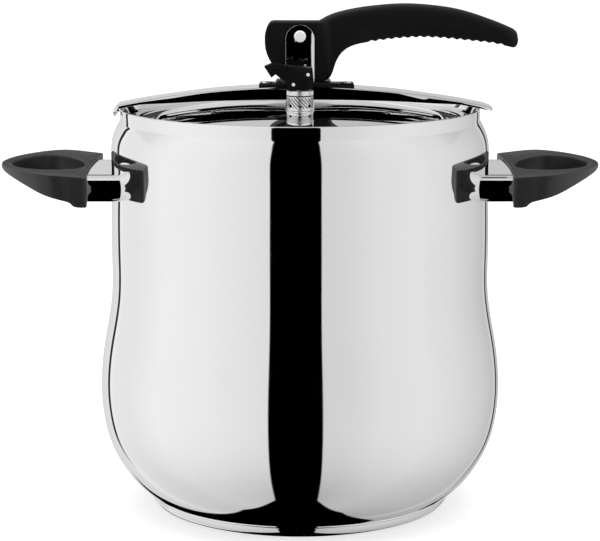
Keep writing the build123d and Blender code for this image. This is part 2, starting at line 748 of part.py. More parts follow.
# ---------------------------------------------------------------- vent valve
VENT_TOP = VENT_SEAT + VENT_H
VENT_PIVOT = (4.8, VENT_TOP + 9.6)
VENT_LINK = (-3.9, VENT_TOP + 3.7)
VENT_PIN_R = 1.0
CAP_DEPTH = 2.2
CHAMBER_LOW = VENT_SEAT + CHAMBER_FLOOR
PLUNGER_R = 2.1
SPRING_LOW = CHAMBER_LOW + 2.2
LEVER_CHEEK = 2.9
LEVER_HALF = 5.0


def make_vent_body():
    """Steam outlet: threaded stem, foot, chamber and a ring of steam holes."""
    stem_low = VENT_UNDER - SEAL_T - NUT_T - 1.5
    body = post(VENT_STEM_R, stem_low, VENT_SEAT + 0.5, 0, VENT_Y)
    body += post(VENT_R, VENT_SEAT, VENT_TOP, 0, VENT_Y)
    body -= post(VENT_CHAMBER_R, CHAMBER_LOW, VENT_TOP + 1, 0, VENT_Y)
    body -= post(1.5, stem_low - 1, CHAMBER_LOW + 1, 0, VENT_Y)
    body -= Pos(0, VENT_Y, CHAMBER_LOW - 0.75) * Cone(1.5, 3.0, 1.5)
    for step in range(8):
        hole = Rot(0, 0, 45 * step) * Pos(VENT_R, 0, 0) * Rot(0, 90, 0) * Cylinder(0.8, 6)
        body -= Pos(0, VENT_Y, CHAMBER_LOW + 1.3) * hole
    return body


def make_vent_cap():
    """Screwed-in cap with the ear that carries the flip lever."""
    cap = post(VENT_CHAMBER_R, VENT_TOP - CAP_DEPTH, VENT_TOP, 0, VENT_Y)
    x, z = VENT_PIVOT
    ear = block((x - 1.8, x + 1.4), (VENT_Y - 2.6, VENT_Y + 2.6), (VENT_TOP, z))
    ear += bar_y(1.9, VENT_Y - 2.6, VENT_Y + 2.6, x, z)
    cap += ear
    cap -= post(PLUNGER_R + HOLE_GAP, VENT_TOP - 10, VENT_TOP + 2, 0, VENT_Y)
    return cap - bar_y(VENT_PIN_R, VENT_Y - 10, VENT_Y + 10, x, z)


def make_vent_plunger():
    """Needle with a spring collar and a cross head above the cap."""
    link_top = VENT_LINK[1] + VENT_PIN_R + 0.3
    needle = post(PLUNGER_R, CHAMBER_LOW + 0.6, link_top + 1.0, 0, VENT_Y)
    needle += Pos(0, VENT_Y, CHAMBER_LOW - 0.3) * Cone(0.9, PLUNGER_R, 1.8)
    needle += post(5.0, SPRING_LOW - 1.2, SPRING_LOW, 0, VENT_Y)
    needle += block((-6.6, PLUNGER_R), (VENT_Y - 2.5, VENT_Y + 2.5), (link_top, link_top + 2.2))
    return needle


def coil(radius, wire, low, high, turns, y):
    """Open compression spring between two heights."""
    height = high - low - wire
    path = Helix(pitch=height / turns, height=height, radius=radius)
    section = Plane(origin=path @ 0, z_dir=path % 0) * Circle(wire / 2)
    return Pos(0, y, low + wire / 2) * sweep(section, path=path)


def make_vent_spring():
    """Spring that holds the needle on its seat."""
    return coil(3.6, 0.7, SPRING_LOW + 0.05, VENT_TOP - CAP_DEPTH - 0.05, 3, VENT_Y)


def make_vent_seal():
    """Rubber washer under the lid."""
    ring = post(VENT_R, VENT_UNDER - SEAL_T, VENT_UNDER, 0, VENT_Y)
    return ring - post(VENT_STEM_R, VENT_UNDER - 9, VENT_UNDER + 9, 0, VENT_Y)


def make_vent_nut():
    """Nut that clamps the vent in the lid."""
    top = VENT_UNDER - SEAL_T
    nut = hexagon(VENT_NUT, top - NUT_T, top, VENT_Y)
    return nut - post(VENT_STEM_R, top - 9, top + 9, 0, VENT_Y)


def make_vent_lever():
    """Beaked flip lever that straddles the ear and the needle's head."""
    base = VENT_TOP + 0.5
    x, z = VENT_PIVOT
    outline = make_face(Polyline(
        (-21.3, base + 13.8),
        (-16.9, base + 15.5),
        (-7.7, base + 14.3),
        (7.4, base + 12.9),
        (8.2, base + 4.5),
        (7.2, base + 1.2),
        (5.4, base),
        (-6.5, base),
        (-8.3, base + 4.2),
        (-14.6, base + 9.3),
        (-17.0, base + 7.3),
        close=True,
    ))
    lever = Pos(0, VENT_Y, 0) * extrude(Plane.XZ * outline, amount=LEVER_HALF, both=True)
    channel = block((-7.2, 9), (VENT_Y - LEVER_CHEEK, VENT_Y + LEVER_CHEEK), (base - 1, base + 9.4))
    channel += bar_y(2.5, VENT_Y - LEVER_CHEEK, VENT_Y + LEVER_CHEEK, x, z)
    lever -= channel
    lever -= bar_y(VENT_PIN_R + RUN_GAP, VENT_Y - 10, VENT_Y + 10, x, z)
    return lever - bar_y(VENT_PIN_R, VENT_Y - 10, VENT_Y + 10, *VENT_LINK)


def make_vent_pivot_pin():
    """Pin in the cap's ear that the flip lever turns on."""
    return bar_y(VENT_PIN_R, VENT_Y - LEVER_HALF - 0.3, VENT_Y + LEVER_HALF + 0.3, *VENT_PIVOT)


def make_vent_link_pin():
    """Pin of the flip lever that lifts the needle's head."""
    return bar_y(VENT_PIN_R, VENT_Y - LEVER_HALF - 0.3, VENT_Y + LEVER_HALF + 0.3, *VENT_LINK)


# ---------------------------------------------------------------- safety valve
SAFETY_TOP = SAFETY_SEAT + SAFETY_H
SAFETY_LOW = SAFETY_UNDER - SEAL_T - NUT_T - 1.5


def make_safety_body():
    """Body of the over-pressure valve, standing behind the bridge."""
    body = post(SAFETY_STEM_R, SAFETY_LOW, SAFETY_SEAT + 0.5, 0, SAFETY_Y)
    body += hexagon(SAFETY_FOOT, SAFETY_SEAT, SAFETY_SEAT + 2.4, SAFETY_Y)
    body += post(SAFETY_R - 0.4, SAFETY_SEAT + 2.4, SAFETY_TOP, 0, SAFETY_Y)
    body -= post(1.3, SAFETY_LOW - 1, SAFETY_TOP, 0, SAFETY_Y)
    body -= post(4.2, SAFETY_SEAT + 1.0, SAFETY_TOP + 1, 0, SAFETY_Y)
    return body


def make_safety_cap():
    """Cap that holds the safety spring down."""
    cap = post(4.2, SAFETY_TOP - 1.2, SAFETY_TOP + 0.6, 0, SAFETY_Y)
    return cap - post(1.2 + HOLE_GAP, SAFETY_TOP - 5, SAFETY_TOP + 5, 0, SAFETY_Y)


def make_safety_plunger():
    """Blow-off plug with a stem that rises through the cap."""
    low = SAFETY_SEAT + 1.15
    plug = post(1.2, low, SAFETY_TOP + 1.6, 0, SAFETY_Y)
    return plug + post(3.2, low, low + 1.0, 0, SAFETY_Y)


def make_safety_spring():
    """Spring of the safety valve."""
    return coil(2.4, 0.5, SAFETY_SEAT + 2.2, SAFETY_TOP - 1.25, 3, SAFETY_Y)


def make_safety_seal():
    """Rubber washer of the safety valve, under the lid."""
    ring = post(6.5, SAFETY_UNDER - SEAL_T, SAFETY_UNDER, 0, SAFETY_Y)
    return ring - post(SAFETY_STEM_R, SAFETY_UNDER - 9, SAFETY_UNDER + 9, 0, SAFETY_Y)


def make_safety_nut():
    """Nut of the safety valve."""
    top = SAFETY_UNDER - SEAL_T
    nut = hexagon(SAFETY_NUT, top - NUT_T, top, SAFETY_Y)
    return nut - post(SAFETY_STEM_R, top - 9, top + 9, 0, SAFETY_Y)


# ---------------------------------------------------------------- all nodes
def make_nodes():
    """Every piece by name."""
    pot_block = make_pot_block()
    handle = make_side_handle()
    right = {
        "side_handle": handle,
        "handle_bracket": make_handle_bracket(pot_block),
        "handle_cuff": make_handle_cuff(pot_block),
        "handle_screws": make_handle_screws(),
        "handle_washers": make_handle_washers(),
    }
    nodes = {
        "pot_body": make_pot_body(),
        "base_cap": make_base_cap(),
        "base_core": make_base_core(),
        "lid": make_lid(),
        "lid_gasket": make_lid_gasket(),
        "bridge": make_bridge(),
        "cam_pad": make_cam_pad(),
        "pad_rivets": make_pad_rivets(),
        "lever_bracket": make_lever_bracket(),
        "bracket_rivets": make_bracket_rivets(),
        "lever_pin": make_lever_pin(),
        "pin_clip": make_pin_clip(),
        "lever_grip": make_lever_grip(),
        "lever_core": make_lever_core(),
        "lever_bush": make_lever_bush(),
        "vent_body": make_vent_body(),
        "vent_cap": make_vent_cap(),
        "vent_plunger": make_vent_plunger(),
        "vent_spring": make_vent_spring(),
        "vent_seal": make_vent_seal(),
        "vent_nut": make_vent_nut(),
        "vent_lever": make_vent_lever(),
        "vent_pivot_pin": make_vent_pivot_pin(),
        "vent_link_pin": make_vent_link_pin(),
        "safety_body": make_safety_body(),
        "safety_cap": make_safety_cap(),
        "safety_plunger": make_safety_plunger(),
        "safety_spring": make_safety_spring(),
        "safety_seal": make_safety_seal(),
        "safety_nut": make_safety_nut(),
    }
    for name, solid in right.items():
        nodes[name + "_right"] = solid
        nodes[name + "_left"] = mirrored(solid)
    return nodes


os.makedirs("parts", exist_ok=True)
for node_name, node_solid in make_nodes().items():
    export_step(node_solid, f"parts/{node_name}.step")
    print(node_name, round(node_solid.volume, 1))
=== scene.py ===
# %% [markdown]
# A tall stovetop pressure cooker in mirror-polished steel: a bellied pot on a layered base, an oval lid
# that hangs inside the mouth, an arched bridge over it, and a black cam lever that pulls the lid up tight.
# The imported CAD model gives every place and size. This lesson puts the visible skin, the finishes and the
# studio round it, and leaves the CAD objects themselves as they are.

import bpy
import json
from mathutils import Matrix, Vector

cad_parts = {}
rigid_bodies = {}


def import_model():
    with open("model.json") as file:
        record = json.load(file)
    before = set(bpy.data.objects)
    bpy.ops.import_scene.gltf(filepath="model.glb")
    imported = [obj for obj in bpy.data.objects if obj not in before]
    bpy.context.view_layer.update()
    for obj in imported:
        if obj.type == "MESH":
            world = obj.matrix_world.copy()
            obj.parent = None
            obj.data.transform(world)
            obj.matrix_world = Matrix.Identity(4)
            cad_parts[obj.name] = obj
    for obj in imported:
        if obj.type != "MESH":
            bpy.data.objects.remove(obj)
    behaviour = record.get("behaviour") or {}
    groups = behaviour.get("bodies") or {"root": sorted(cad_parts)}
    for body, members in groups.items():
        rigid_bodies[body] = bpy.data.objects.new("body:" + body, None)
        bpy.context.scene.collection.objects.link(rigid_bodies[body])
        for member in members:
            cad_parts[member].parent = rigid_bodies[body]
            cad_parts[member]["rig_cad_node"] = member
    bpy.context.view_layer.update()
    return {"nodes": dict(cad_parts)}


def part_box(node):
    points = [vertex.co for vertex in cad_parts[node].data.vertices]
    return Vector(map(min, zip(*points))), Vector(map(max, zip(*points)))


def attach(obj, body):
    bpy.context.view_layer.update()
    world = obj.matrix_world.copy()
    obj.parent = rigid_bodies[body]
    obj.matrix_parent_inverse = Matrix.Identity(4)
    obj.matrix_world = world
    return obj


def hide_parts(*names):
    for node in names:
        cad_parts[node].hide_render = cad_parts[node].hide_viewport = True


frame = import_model()

# %% Tools and units
import json
import math

import bmesh
import bpy
import numpy as np
from mathutils import Vector

MM = 0.001
NODES = frame["nodes"]
scene = bpy.context.scene

# %% [markdown]
# Sizes. The rim, the pin and the feet of the valves come from the boxes of the CAD nodes. The few shapes
# that a box can't give, such as the belly's curve, repeat the driving sizes of the CAD source in millimetres.

# %% Places read from the model
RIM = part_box("pot_body")[1].z / MM
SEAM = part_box("base_cap")[1].z / MM
BRIDGE_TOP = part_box("bridge")[1].z / MM
BRIDGE_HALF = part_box("bridge")[1].y / MM
PIN = (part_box("lever_pin")[0].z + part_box("lever_pin")[1].z) / 2 / MM
VENT_Y = (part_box("vent_seal")[0].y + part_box("vent_seal")[1].y) / 2 / MM
VENT_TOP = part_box("vent_body")[1].z / MM
SAFETY_Y = (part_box("safety_seal")[0].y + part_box("safety_seal")[1].y) / 2 / MM
COLLAR = 110.0                # radius of the pot's straight collar
HANDLE_X = COLLAR + 16.1      # inner corners of the side handles
HANDLE_Z = RIM - 45.6         # their middle height
print("rim", round(RIM, 2), "bridge", round(BRIDGE_TOP, 2), "pin", round(PIN, 2), "vent", round(VENT_TOP, 2))

# %% [markdown]
# The camera is a portrait lens some 1.4 m in front of the pot and a little above its rim, tipped down by
# ten degrees, so the lid shows as a thin lens and the walls stay upright.

# %% Camera
CAMERA_AT = (0.0, -1.37606, 0.39639)
CAMERA_TIP = math.radians(10.345)
CAMERA_LENS, CAMERA_SENSOR = 135.187, 36
camera = bpy.data.objects.new("camera", bpy.data.cameras.new("camera"))
scene.collection.objects.link(camera)
camera.location = CAMERA_AT
camera.rotation_euler = (math.pi / 2 - CAMERA_TIP, 0, 0)
camera.data.lens = CAMERA_LENS
camera.data.sensor_width = CAMERA_SENSOR
camera.data.clip_end = 50
scene.camera = camera
print("camera at", list(camera.location))

# %% [markdown]
# The studio. Polished steel is only as good as what it mirrors. The pot stands between two broad white
# sheets with a dark gap where the camera looks through, a thin dark line at each side where the sheets
# end, a painted shadow of the table as a dark patch behind its foot, and a dark wall that the lid mirrors,
# with two lit openings for the tops of the sleeves. All of that is far away, so it is painted on the world by
# direction. What the camera sees directly is plain white.

# %% A few words for building shader graphs
def add_node(tree, kind, **settings):
    """A new node with some of its settings."""
    node = tree.nodes.new(kind)
    for key, value in settings.items():
        setattr(node, key, value)
    return node


def math_node(tree, operation, first, second=None, third=None):
    """A Math node whose inputs are sockets or numbers, and its result."""
    node = add_node(tree, "ShaderNodeMath", operation=operation)
    for index, value in enumerate((first, second, third)):
        if value is None:
            continue
        if isinstance(value, (int, float)):
            node.inputs[index].default_value = value
        else:
            tree.links.new(value, node.inputs[index])
    return node.outputs[0]


def between(tree, value, low, high, soft):
    """1 where the value lies between two limits, with soft sides."""
    rise = math_node(tree, "MULTIPLY_ADD", value, 1 / soft, 0.5 - low / soft)
    fall = math_node(tree, "MULTIPLY_ADD", value, -1 / soft, 0.5 + high / soft)
    rise.node.use_clamp = True
    fall.node.use_clamp = True
    return math_node(tree, "MULTIPLY", rise, fall)


# %% World
# angles are in degrees: a turn is 0 towards the camera and grows to its right, a height is above the level
GAP_WIDTH = ((-0.11, -0.194), (0.08, 0.141))     # left and right limit: at the poles, and added at the level
LEFT_LINE = (-145.4, -141.0)
RIGHT_LINE = (153.5, 157.5)
WALL_HEIGHTS, WALL_HALF = (6.12, 19.5), 0.40
WINDOW_HEIGHTS, WINDOW_SIDES = (7.0, 8.6), (0.074, 0.102)
FOOT_START, FOOT_LEFT, FOOT_RIGHT = -0.26, (-0.14, -0.16), (0.10, 0.12)
SHEETS = [(-180, 0.66), (-149, 0.80), (-141, 0.98), (-136, 0.88), (-115, 0.88), (-88, 0.97),
          (-55, 0.92), (-25, 0.83), (14, 0.71), (28, 0.74), (48, 0.82), (75, 0.86), (105, 0.78),
          (132, 0.66), (146, 0.58), (153, 0.70), (158, 0.5), (180, 0.62)]

world = bpy.data.worlds.new("studio")
scene.world = world
world.use_nodes = True
tree = world.node_tree
tree.nodes.clear()
direction = add_node(tree, "ShaderNodeSeparateXYZ")
tree.links.new(add_node(tree, "ShaderNodeTexCoord").outputs["Generated"], direction.inputs[0])
toward_x, toward_y, up = direction.outputs
turn = math_node(tree, "ARCTAN2", toward_x, math_node(tree, "MULTIPLY", toward_y, -1.0))
turn = math_node(tree, "MULTIPLY", turn, 180 / math.pi)
height = math_node(tree, "MULTIPLY", math_node(tree, "ARCSINE", up), 180 / math.pi)
level = math_node(tree, "SQRT", math_node(tree, "SUBTRACT", 1.0, math_node(tree, "MULTIPLY", up, up)))
ramp = add_node(tree, "ShaderNodeValToRGB")
while len(ramp.color_ramp.elements) < len(SHEETS):
    ramp.color_ramp.elements.new(0.5)
for element, (angle, tone) in zip(ramp.color_ramp.elements, SHEETS):
    element.position = (angle + 180) / 360
    element.color = (tone, tone, tone, 1)
tree.links.new(math_node(tree, "MULTIPLY_ADD", turn, 1 / 360, 0.5), ramp.inputs[0])
fade = add_node(tree, "ShaderNodeMapRange", interpolation_type="SMOOTHSTEP")
for index, value in enumerate((-88.0, -12.0, 0.62, 1.0)):
    fade.inputs[index + 1].default_value = value
tree.links.new(height, fade.inputs[0])


def product(first, *others):
    """The product of several masks."""
    for other in others:
        first = math_node(tree, "MULTIPLY", first, other)
    return first


# the gap in front narrows towards straight up and straight down, but never closes
left_side = math_node(tree, "MULTIPLY_ADD", level, GAP_WIDTH[0][1], GAP_WIDTH[0][0])
right_side = math_node(tree, "MULTIPLY_ADD", level, GAP_WIDTH[1][1], GAP_WIDTH[1][0])
past_left = between(tree, math_node(tree, "SUBTRACT", toward_x, left_side), 0.0, 9.0, 0.01)
past_right = between(tree, math_node(tree, "SUBTRACT", toward_x, right_side), -9.0, 0.0, 0.01)
gap = product(past_left, past_right, between(tree, toward_y, -2.0, 0.02, 0.02))
gap = product(gap, between(tree, height, -120.0, 79.0, 1.0))
lines = math_node(tree, "ADD", between(tree, turn, *LEFT_LINE, 0.6), between(tree, turn, *RIGHT_LINE, 0.6))
lines = product(lines, between(tree, height, -26.0, 25.0, 12.0), 0.97)
# painted shadow: a dark patch of the world under and behind the foot, which widens backwards and stands in for
# the table's shadow in the mirrors; and a dark wall low behind the lid
widen = math_node(tree, "MULTIPLY_ADD", toward_y, 1 / 0.38, -FOOT_START / 0.38)
widen.node.use_clamp = True
foot_left = math_node(tree, "MULTIPLY_ADD", widen, FOOT_LEFT[1], FOOT_LEFT[0])
foot_right = math_node(tree, "MULTIPLY_ADD", widen, FOOT_RIGHT[1], FOOT_RIGHT[0])
# painted shadow of the table, seen only in the mirrors
foot = product(between(tree, math_node(tree, "SUBTRACT", toward_x, foot_left), 0.0, 9.0, 0.01),
               between(tree, math_node(tree, "SUBTRACT", toward_x, foot_right), -9.0, 0.0, 0.01),
               between(tree, toward_y, FOOT_START, 2.0, 0.01), between(tree, up, -2.0, -0.42, 0.02))
wall = product(between(tree, height, *WALL_HEIGHTS, 0.12),
               between(tree, toward_x, -WALL_HALF, WALL_HALF, 0.05),
               between(tree, toward_y, 0.0, 2.0, 0.1))
# two lit openings in that wall, which the flat tops of the sleeves mirror
window = product(between(tree, height, *WINDOW_HEIGHTS, 0.1),
                 between(tree, math_node(tree, "ABSOLUTE", toward_x), *WINDOW_SIDES, 0.004))
wall = product(wall, math_node(tree, "SUBTRACT", 1.0, window))
dark = gap
for mask in (foot, lines, wall):
    dark = math_node(tree, "MAXIMUM", dark, mask)
lens = product(between(tree, height, 19.0, 34.0, 2.0), between(tree, toward_y, 0.3, 2.0, 0.2), 0.1)
lit = product(fade.outputs[0], math_node(tree, "SUBTRACT", 1.0, dark), math_node(tree, "SUBTRACT", 1.0, lens))
mirrored_light = product(ramp.outputs[0], lit)
path = add_node(tree, "ShaderNodeLightPath")
plain = math_node(tree, "MAXIMUM", path.outputs["Is Camera Ray"], path.outputs["Is Diffuse Ray"])
pick_light = add_node(tree, "ShaderNodeMix", data_type="FLOAT")
tree.links.new(plain, pick_light.inputs[0])
tree.links.new(mirrored_light, pick_light.inputs[2])
pick_light.inputs[3].default_value = 1.0
background = add_node(tree, "ShaderNodeBackground")
tree.links.new(pick_light.outputs[0], background.inputs["Color"])
output = add_node(tree, "ShaderNodeOutputWorld")
tree.links.new(background.outputs[0], output.inputs[0])
scene.view_settings.view_transform = "Standard"
print("world has", len(tree.nodes), "nodes")


# %% [markdown]
# One large soft lamp overhead lifts the table to white and models the black parts. It is left out of the
# mirror reflections, which the world already gives.

# %% Lamp
def lamp(name, place, aim, size, power):
    """A square or oblong area lamp pointed at a place, which no mirror shows."""
    light = bpy.data.lights.new(name, "AREA")
    light.shape = "RECTANGLE"
    light.size, light.size_y = size
    light.energy = power
    holder = bpy.data.objects.new(name, light)
    scene.collection.objects.link(holder)
    holder.location = place
    holder.rotation_euler = (Vector(aim) - Vector(place)).to_track_quat("-Z", "Y").to_euler()
    holder.visible_glossy = False
    holder.visible_camera = False
    print("lamp", name, power, "W")


lamp("overhead", (0.0, 0.2, 2.2), (0, 0, 0), (2.5, 2.5), 45)

# %% [markdown]
# The finishes. Small even effects are shared as shader groups: a colour that drifts between two close
# tones, a roughness that shows faint wiping marks, fine lines left by a polishing wheel or brush, and the
# tiny grain of a moulded skin. Each finish then sets its own values on them.

# %% Shader groups
def new_group(name, inputs, outputs):
    """An empty shader group with named sockets, and its two ends."""
    group = bpy.data.node_groups.new(name, "ShaderNodeTree")
    for label, kind, value in inputs:
        socket = group.interface.new_socket(name=label, in_out="INPUT", socket_type=kind)
        socket.default_value = value
    for label, kind in outputs:
        group.interface.new_socket(name=label, in_out="OUTPUT", socket_type=kind)
    return group, group.nodes.new("NodeGroupInput"), group.nodes.new("NodeGroupOutput")


FLOAT, COLOUR, VECTOR = "NodeSocketFloat", "NodeSocketColor", "NodeSocketVector"

drift, source, sink = new_group(
    "tone_drift",
    [("Vector", VECTOR, (0, 0, 0)), ("First", COLOUR, (1, 1, 1, 1)), ("Second", COLOUR, (0, 0, 0, 1)),
     ("Scale", FLOAT, 40)],
    [("Colour", COLOUR)],
)
cloud = add_node(drift, "ShaderNodeTexNoise")
cloud.inputs["Detail"].default_value = 3
drift.links.new(source.outputs["Vector"], cloud.inputs["Vector"])
drift.links.new(source.outputs["Scale"], cloud.inputs["Scale"])
blend = add_node(drift, "ShaderNodeMix", data_type="RGBA")
drift.links.new(cloud.outputs["Fac"], blend.inputs[0])
drift.links.new(source.outputs["First"], blend.inputs[6])
drift.links.new(source.outputs["Second"], blend.inputs[7])
drift.links.new(blend.outputs[2], sink.inputs["Colour"])

wipe, source, sink = new_group(
    "wiping_marks",
    [("Vector", VECTOR, (0, 0, 0)), ("Scale", FLOAT, 20), ("Low", FLOAT, 0.1), ("High", FLOAT, 0.2)],
    [("Roughness", FLOAT)],
)
cloud = add_node(wipe, "ShaderNodeTexNoise")
cloud.inputs["Detail"].default_value = 5
cloud.inputs["Roughness"].default_value = 0.62
spread = add_node(wipe, "ShaderNodeMapRange")
spread.inputs[1].default_value = 0.3
spread.inputs[2].default_value = 0.7
wipe.links.new(source.outputs["Vector"], cloud.inputs["Vector"])
wipe.links.new(source.outputs["Scale"], cloud.inputs["Scale"])
wipe.links.new(cloud.outputs["Fac"], spread.inputs[0])
wipe.links.new(source.outputs["Low"], spread.inputs[3])
wipe.links.new(source.outputs["High"], spread.inputs[4])
wipe.links.new(spread.outputs[0], sink.inputs["Roughness"])

tooling, source, sink = new_group(
    "tool_lines",
    [("Vector", VECTOR, (0, 0, 0)), ("Stretch", VECTOR, (1, 1, 1)), ("Detail", FLOAT, 2)],
    [("Height", FLOAT)],
)
stretch = add_node(tooling, "ShaderNodeVectorMath", operation="MULTIPLY")
tooling.links.new(source.outputs["Vector"], stretch.inputs[0])
tooling.links.new(source.outputs["Stretch"], stretch.inputs[1])
cloud = add_node(tooling, "ShaderNodeTexNoise")
cloud.inputs["Scale"].default_value = 1
tooling.links.new(stretch.outputs[0], cloud.inputs["Vector"])
tooling.links.new(source.outputs["Detail"], cloud.inputs["Detail"])
tooling.links.new(cloud.outputs["Fac"], sink.inputs["Height"])
print("groups", [g.name for g in bpy.data.node_groups])


# %% The finishes themselves
FINISHES = {}
DRIFT_SCALE, WIPE_SCALE = 30, 18
BUMP_HEIGHT = 0.2 * MM


def finish(name, tones, rough, metal, stretch, bump, **shader):
    """A material from the shared effects, with plain values set on the shader."""
    material = bpy.data.materials.new(name)
    material.use_nodes = True
    tree = material.node_tree
    principled = tree.nodes["Principled BSDF"]
    place = add_node(tree, "ShaderNodeTexCoord").outputs["Object"]
    parts = {}
    for group, values in (
        (drift, {"First": (*tones[0], 1), "Second": (*tones[1], 1), "Scale": DRIFT_SCALE}),
        (wipe, {"Scale": WIPE_SCALE, "Low": rough[0], "High": rough[1]}),
        (tooling, {"Stretch": stretch, "Detail": 3}),
    ):
        node = add_node(tree, "ShaderNodeGroup", node_tree=group)
        tree.links.new(place, node.inputs["Vector"])
        for key, value in values.items():
            node.inputs[key].default_value = value
        parts[group.name] = node
    tree.links.new(parts["tone_drift"].outputs[0], principled.inputs["Base Color"])
    tree.links.new(parts["wiping_marks"].outputs[0], principled.inputs["Roughness"])
    relief = add_node(tree, "ShaderNodeBump")
    relief.inputs["Strength"].default_value = bump
    relief.inputs["Distance"].default_value = BUMP_HEIGHT
    tree.links.new(parts["tool_lines"].outputs[0], relief.inputs["Height"])
    tree.links.new(relief.outputs[0], principled.inputs["Normal"])
    principled.inputs["Metallic"].default_value = metal
    for key, value in shader.items():
        principled.inputs[key].default_value = value
    FINISHES[name] = material
    print("finish", name)


def grey(level, warm=0.0):
    """A neutral tone, or a slightly warm one."""
    return (level + warm, level, level - warm)


finish("polished_steel", (grey(0.90), grey(0.87)), (0.015, 0.04), 1.0, (30, 30, 900), 0.006)
finish("brushed_steel", (grey(0.66), grey(0.58)), (0.26, 0.36), 1.0, (900, 60, 900), 0.12)
finish("bright_pin", (grey(0.95), grey(0.88)), (0.3, 0.4), 0.25, (400, 400, 400), 0.04)
finish("zinc_screw", (grey(0.62, 0.01), grey(0.5, 0.01)), (0.3, 0.42), 1.0, (300, 300, 300), 0.1)
finish("bakelite", (grey(0.013), grey(0.009)), (0.34, 0.42), 0.0, (1900, 1900, 1900), 0.10,
       **{"Specular IOR Level": 0.42})
finish("lever_bakelite", (grey(0.0065), grey(0.0045)), (0.36, 0.44), 0.0, (1900, 1900, 1900), 0.05,
       **{"Specular IOR Level": 0.10})
finish("black_pad", (grey(0.003), grey(0.002)), (0.20, 0.28), 0.0, (1200, 1200, 1200), 0.03,
       **{"Specular IOR Level": 0.12})
finish("black_flap", (grey(0.005), grey(0.003)), (0.28, 0.36), 0.0, (1500, 1500, 1500), 0.03,
       **{"Specular IOR Level": 0.12})
finish("aluminium_core", (grey(0.72), grey(0.66)), (0.3, 0.4), 1.0, (400, 400, 2500), 0.1)
finish("rubber_seal", (grey(0.03), grey(0.02)), (0.5, 0.62), 0.0, (700, 700, 700), 0.1)
finish("nickel_valve", (grey(0.92), grey(0.86)), (0.24, 0.32), 1.0, (100, 100, 2600), 0.05)
finish("spring_wire", (grey(0.6), grey(0.5)), (0.2, 0.3), 1.0, (500, 500, 500), 0.05)
finish("brass_valve", ((0.80, 0.60, 0.28), (0.70, 0.50, 0.22)), (0.16, 0.26), 1.0, (100, 100, 2600), 0.06)


# %% [markdown]
# Modelling helpers. A turned or pressed part starts as a line drawn point by point: one vertex is extruded
# from place to place. A line is then spun about an axis, or several lines side by side are bridged into a
# skin. Shapes with two equal halves are drawn as one half and mirrored.

# %% Selecting
def pick(piece):
    """Leaves one object selected and active, in object mode."""
    if bpy.context.mode != "OBJECT":
        bpy.ops.object.mode_set(mode="OBJECT")
    bpy.ops.object.select_all(action="DESELECT")
    piece.select_set(True)
    bpy.context.view_layer.objects.active = piece


def choose(piece, wanted):
    """In edit mode, selects the vertices for which wanted(index, place in millimetres) is true."""
    mesh = bmesh.from_edit_mesh(piece.data)
    mesh.verts.ensure_lookup_table()
    for face in mesh.faces:
        face.select_set(False)
    for edge in mesh.edges:
        edge.select_set(False)
    for vertex in mesh.verts:
        vertex.select_set(bool(wanted(vertex.index, vertex.co / MM)))
    mesh.select_flush(True)
    bmesh.update_edit_mesh(piece.data)


# %% Smooth lines through a few points
def smooth(points, steps):
    """Points along a natural cubic curve through a few places, evenly spaced in chord length."""
    points = np.array(points, float)
    gaps = np.linalg.norm(np.diff(points, axis=0), axis=1)
    at = np.concatenate([[0.0], np.cumsum(gaps)])
    count = len(points)
    system = np.eye(count)
    right = np.zeros_like(points)
    for i in range(1, count - 1):
        system[i, i - 1:i + 2] = gaps[i - 1], 2 * (gaps[i - 1] + gaps[i]), gaps[i]
        right[i] = 6 * ((points[i + 1] - points[i]) / gaps[i] - (points[i] - points[i - 1]) / gaps[i - 1])
    bend = np.linalg.solve(system, right)
    result = []
    for t in np.linspace(0, at[-1], steps + 1):
        i = min(int(np.searchsorted(at, t, side="right")) - 1, count - 2)
        h, a, b = gaps[i], at[i + 1] - t, t - at[i]
        result.append(tuple(
            (bend[i] * a ** 3 + bend[i + 1] * b ** 3) / (6 * h)
            + (points[i] / h - bend[i] * h / 6) * a
            + (points[i + 1] / h - bend[i + 1] * h / 6) * b
        ))
    return result


# %% Drawing, spinning, skinning
def draw(name, lines):
    """A mesh of one or more open lines, in millimetres, drawn by extruding a vertex from place to place."""
    bpy.ops.object.select_all(action="DESELECT")
    bpy.ops.mesh.primitive_plane_add(size=MM, location=Vector(lines[0][0]) * MM)
    piece = bpy.context.object
    piece.name = piece.data.name = name
    bpy.ops.object.transform_apply(location=True, rotation=True, scale=True)
    bpy.ops.object.mode_set(mode="EDIT")
    bpy.ops.mesh.select_all(action="SELECT")
    bpy.ops.mesh.merge(type="CENTER")
    at = Vector(lines[0][0])
    for number, line in enumerate(lines):
        for step, place in enumerate(line):
            move = {"value": (Vector(place) - at) * MM}
            if step:
                bpy.ops.mesh.extrude_region_move(TRANSFORM_OT_translate=move)
            elif number:
                bpy.ops.mesh.duplicate_move(TRANSFORM_OT_translate=move)
            at = Vector(place)
    return piece


JOIN_WITHIN = 0.002 * MM


def tidy_shell():
    """In edit mode, joins doubled points and turns every face outwards."""
    bpy.ops.mesh.select_all(action="SELECT")
    bpy.ops.mesh.remove_doubles(threshold=JOIN_WITHIN)
    bpy.ops.mesh.normals_make_consistent(inside=False)


def spun(name, outline, steps, centre=(0, 0)):
    """A turned part from an outline of (radius, height), about an upright axis."""
    x, y = centre
    piece = draw(name, [[(x + radius, y, height) for radius, height in outline]])
    bpy.ops.mesh.select_all(action="SELECT")
    bpy.ops.mesh.spin(steps=steps, angle=math.tau, center=(x * MM, y * MM, 0), axis=(0, 0, 1))
    tidy_shell()
    bpy.ops.object.mode_set(mode="OBJECT")
    return piece


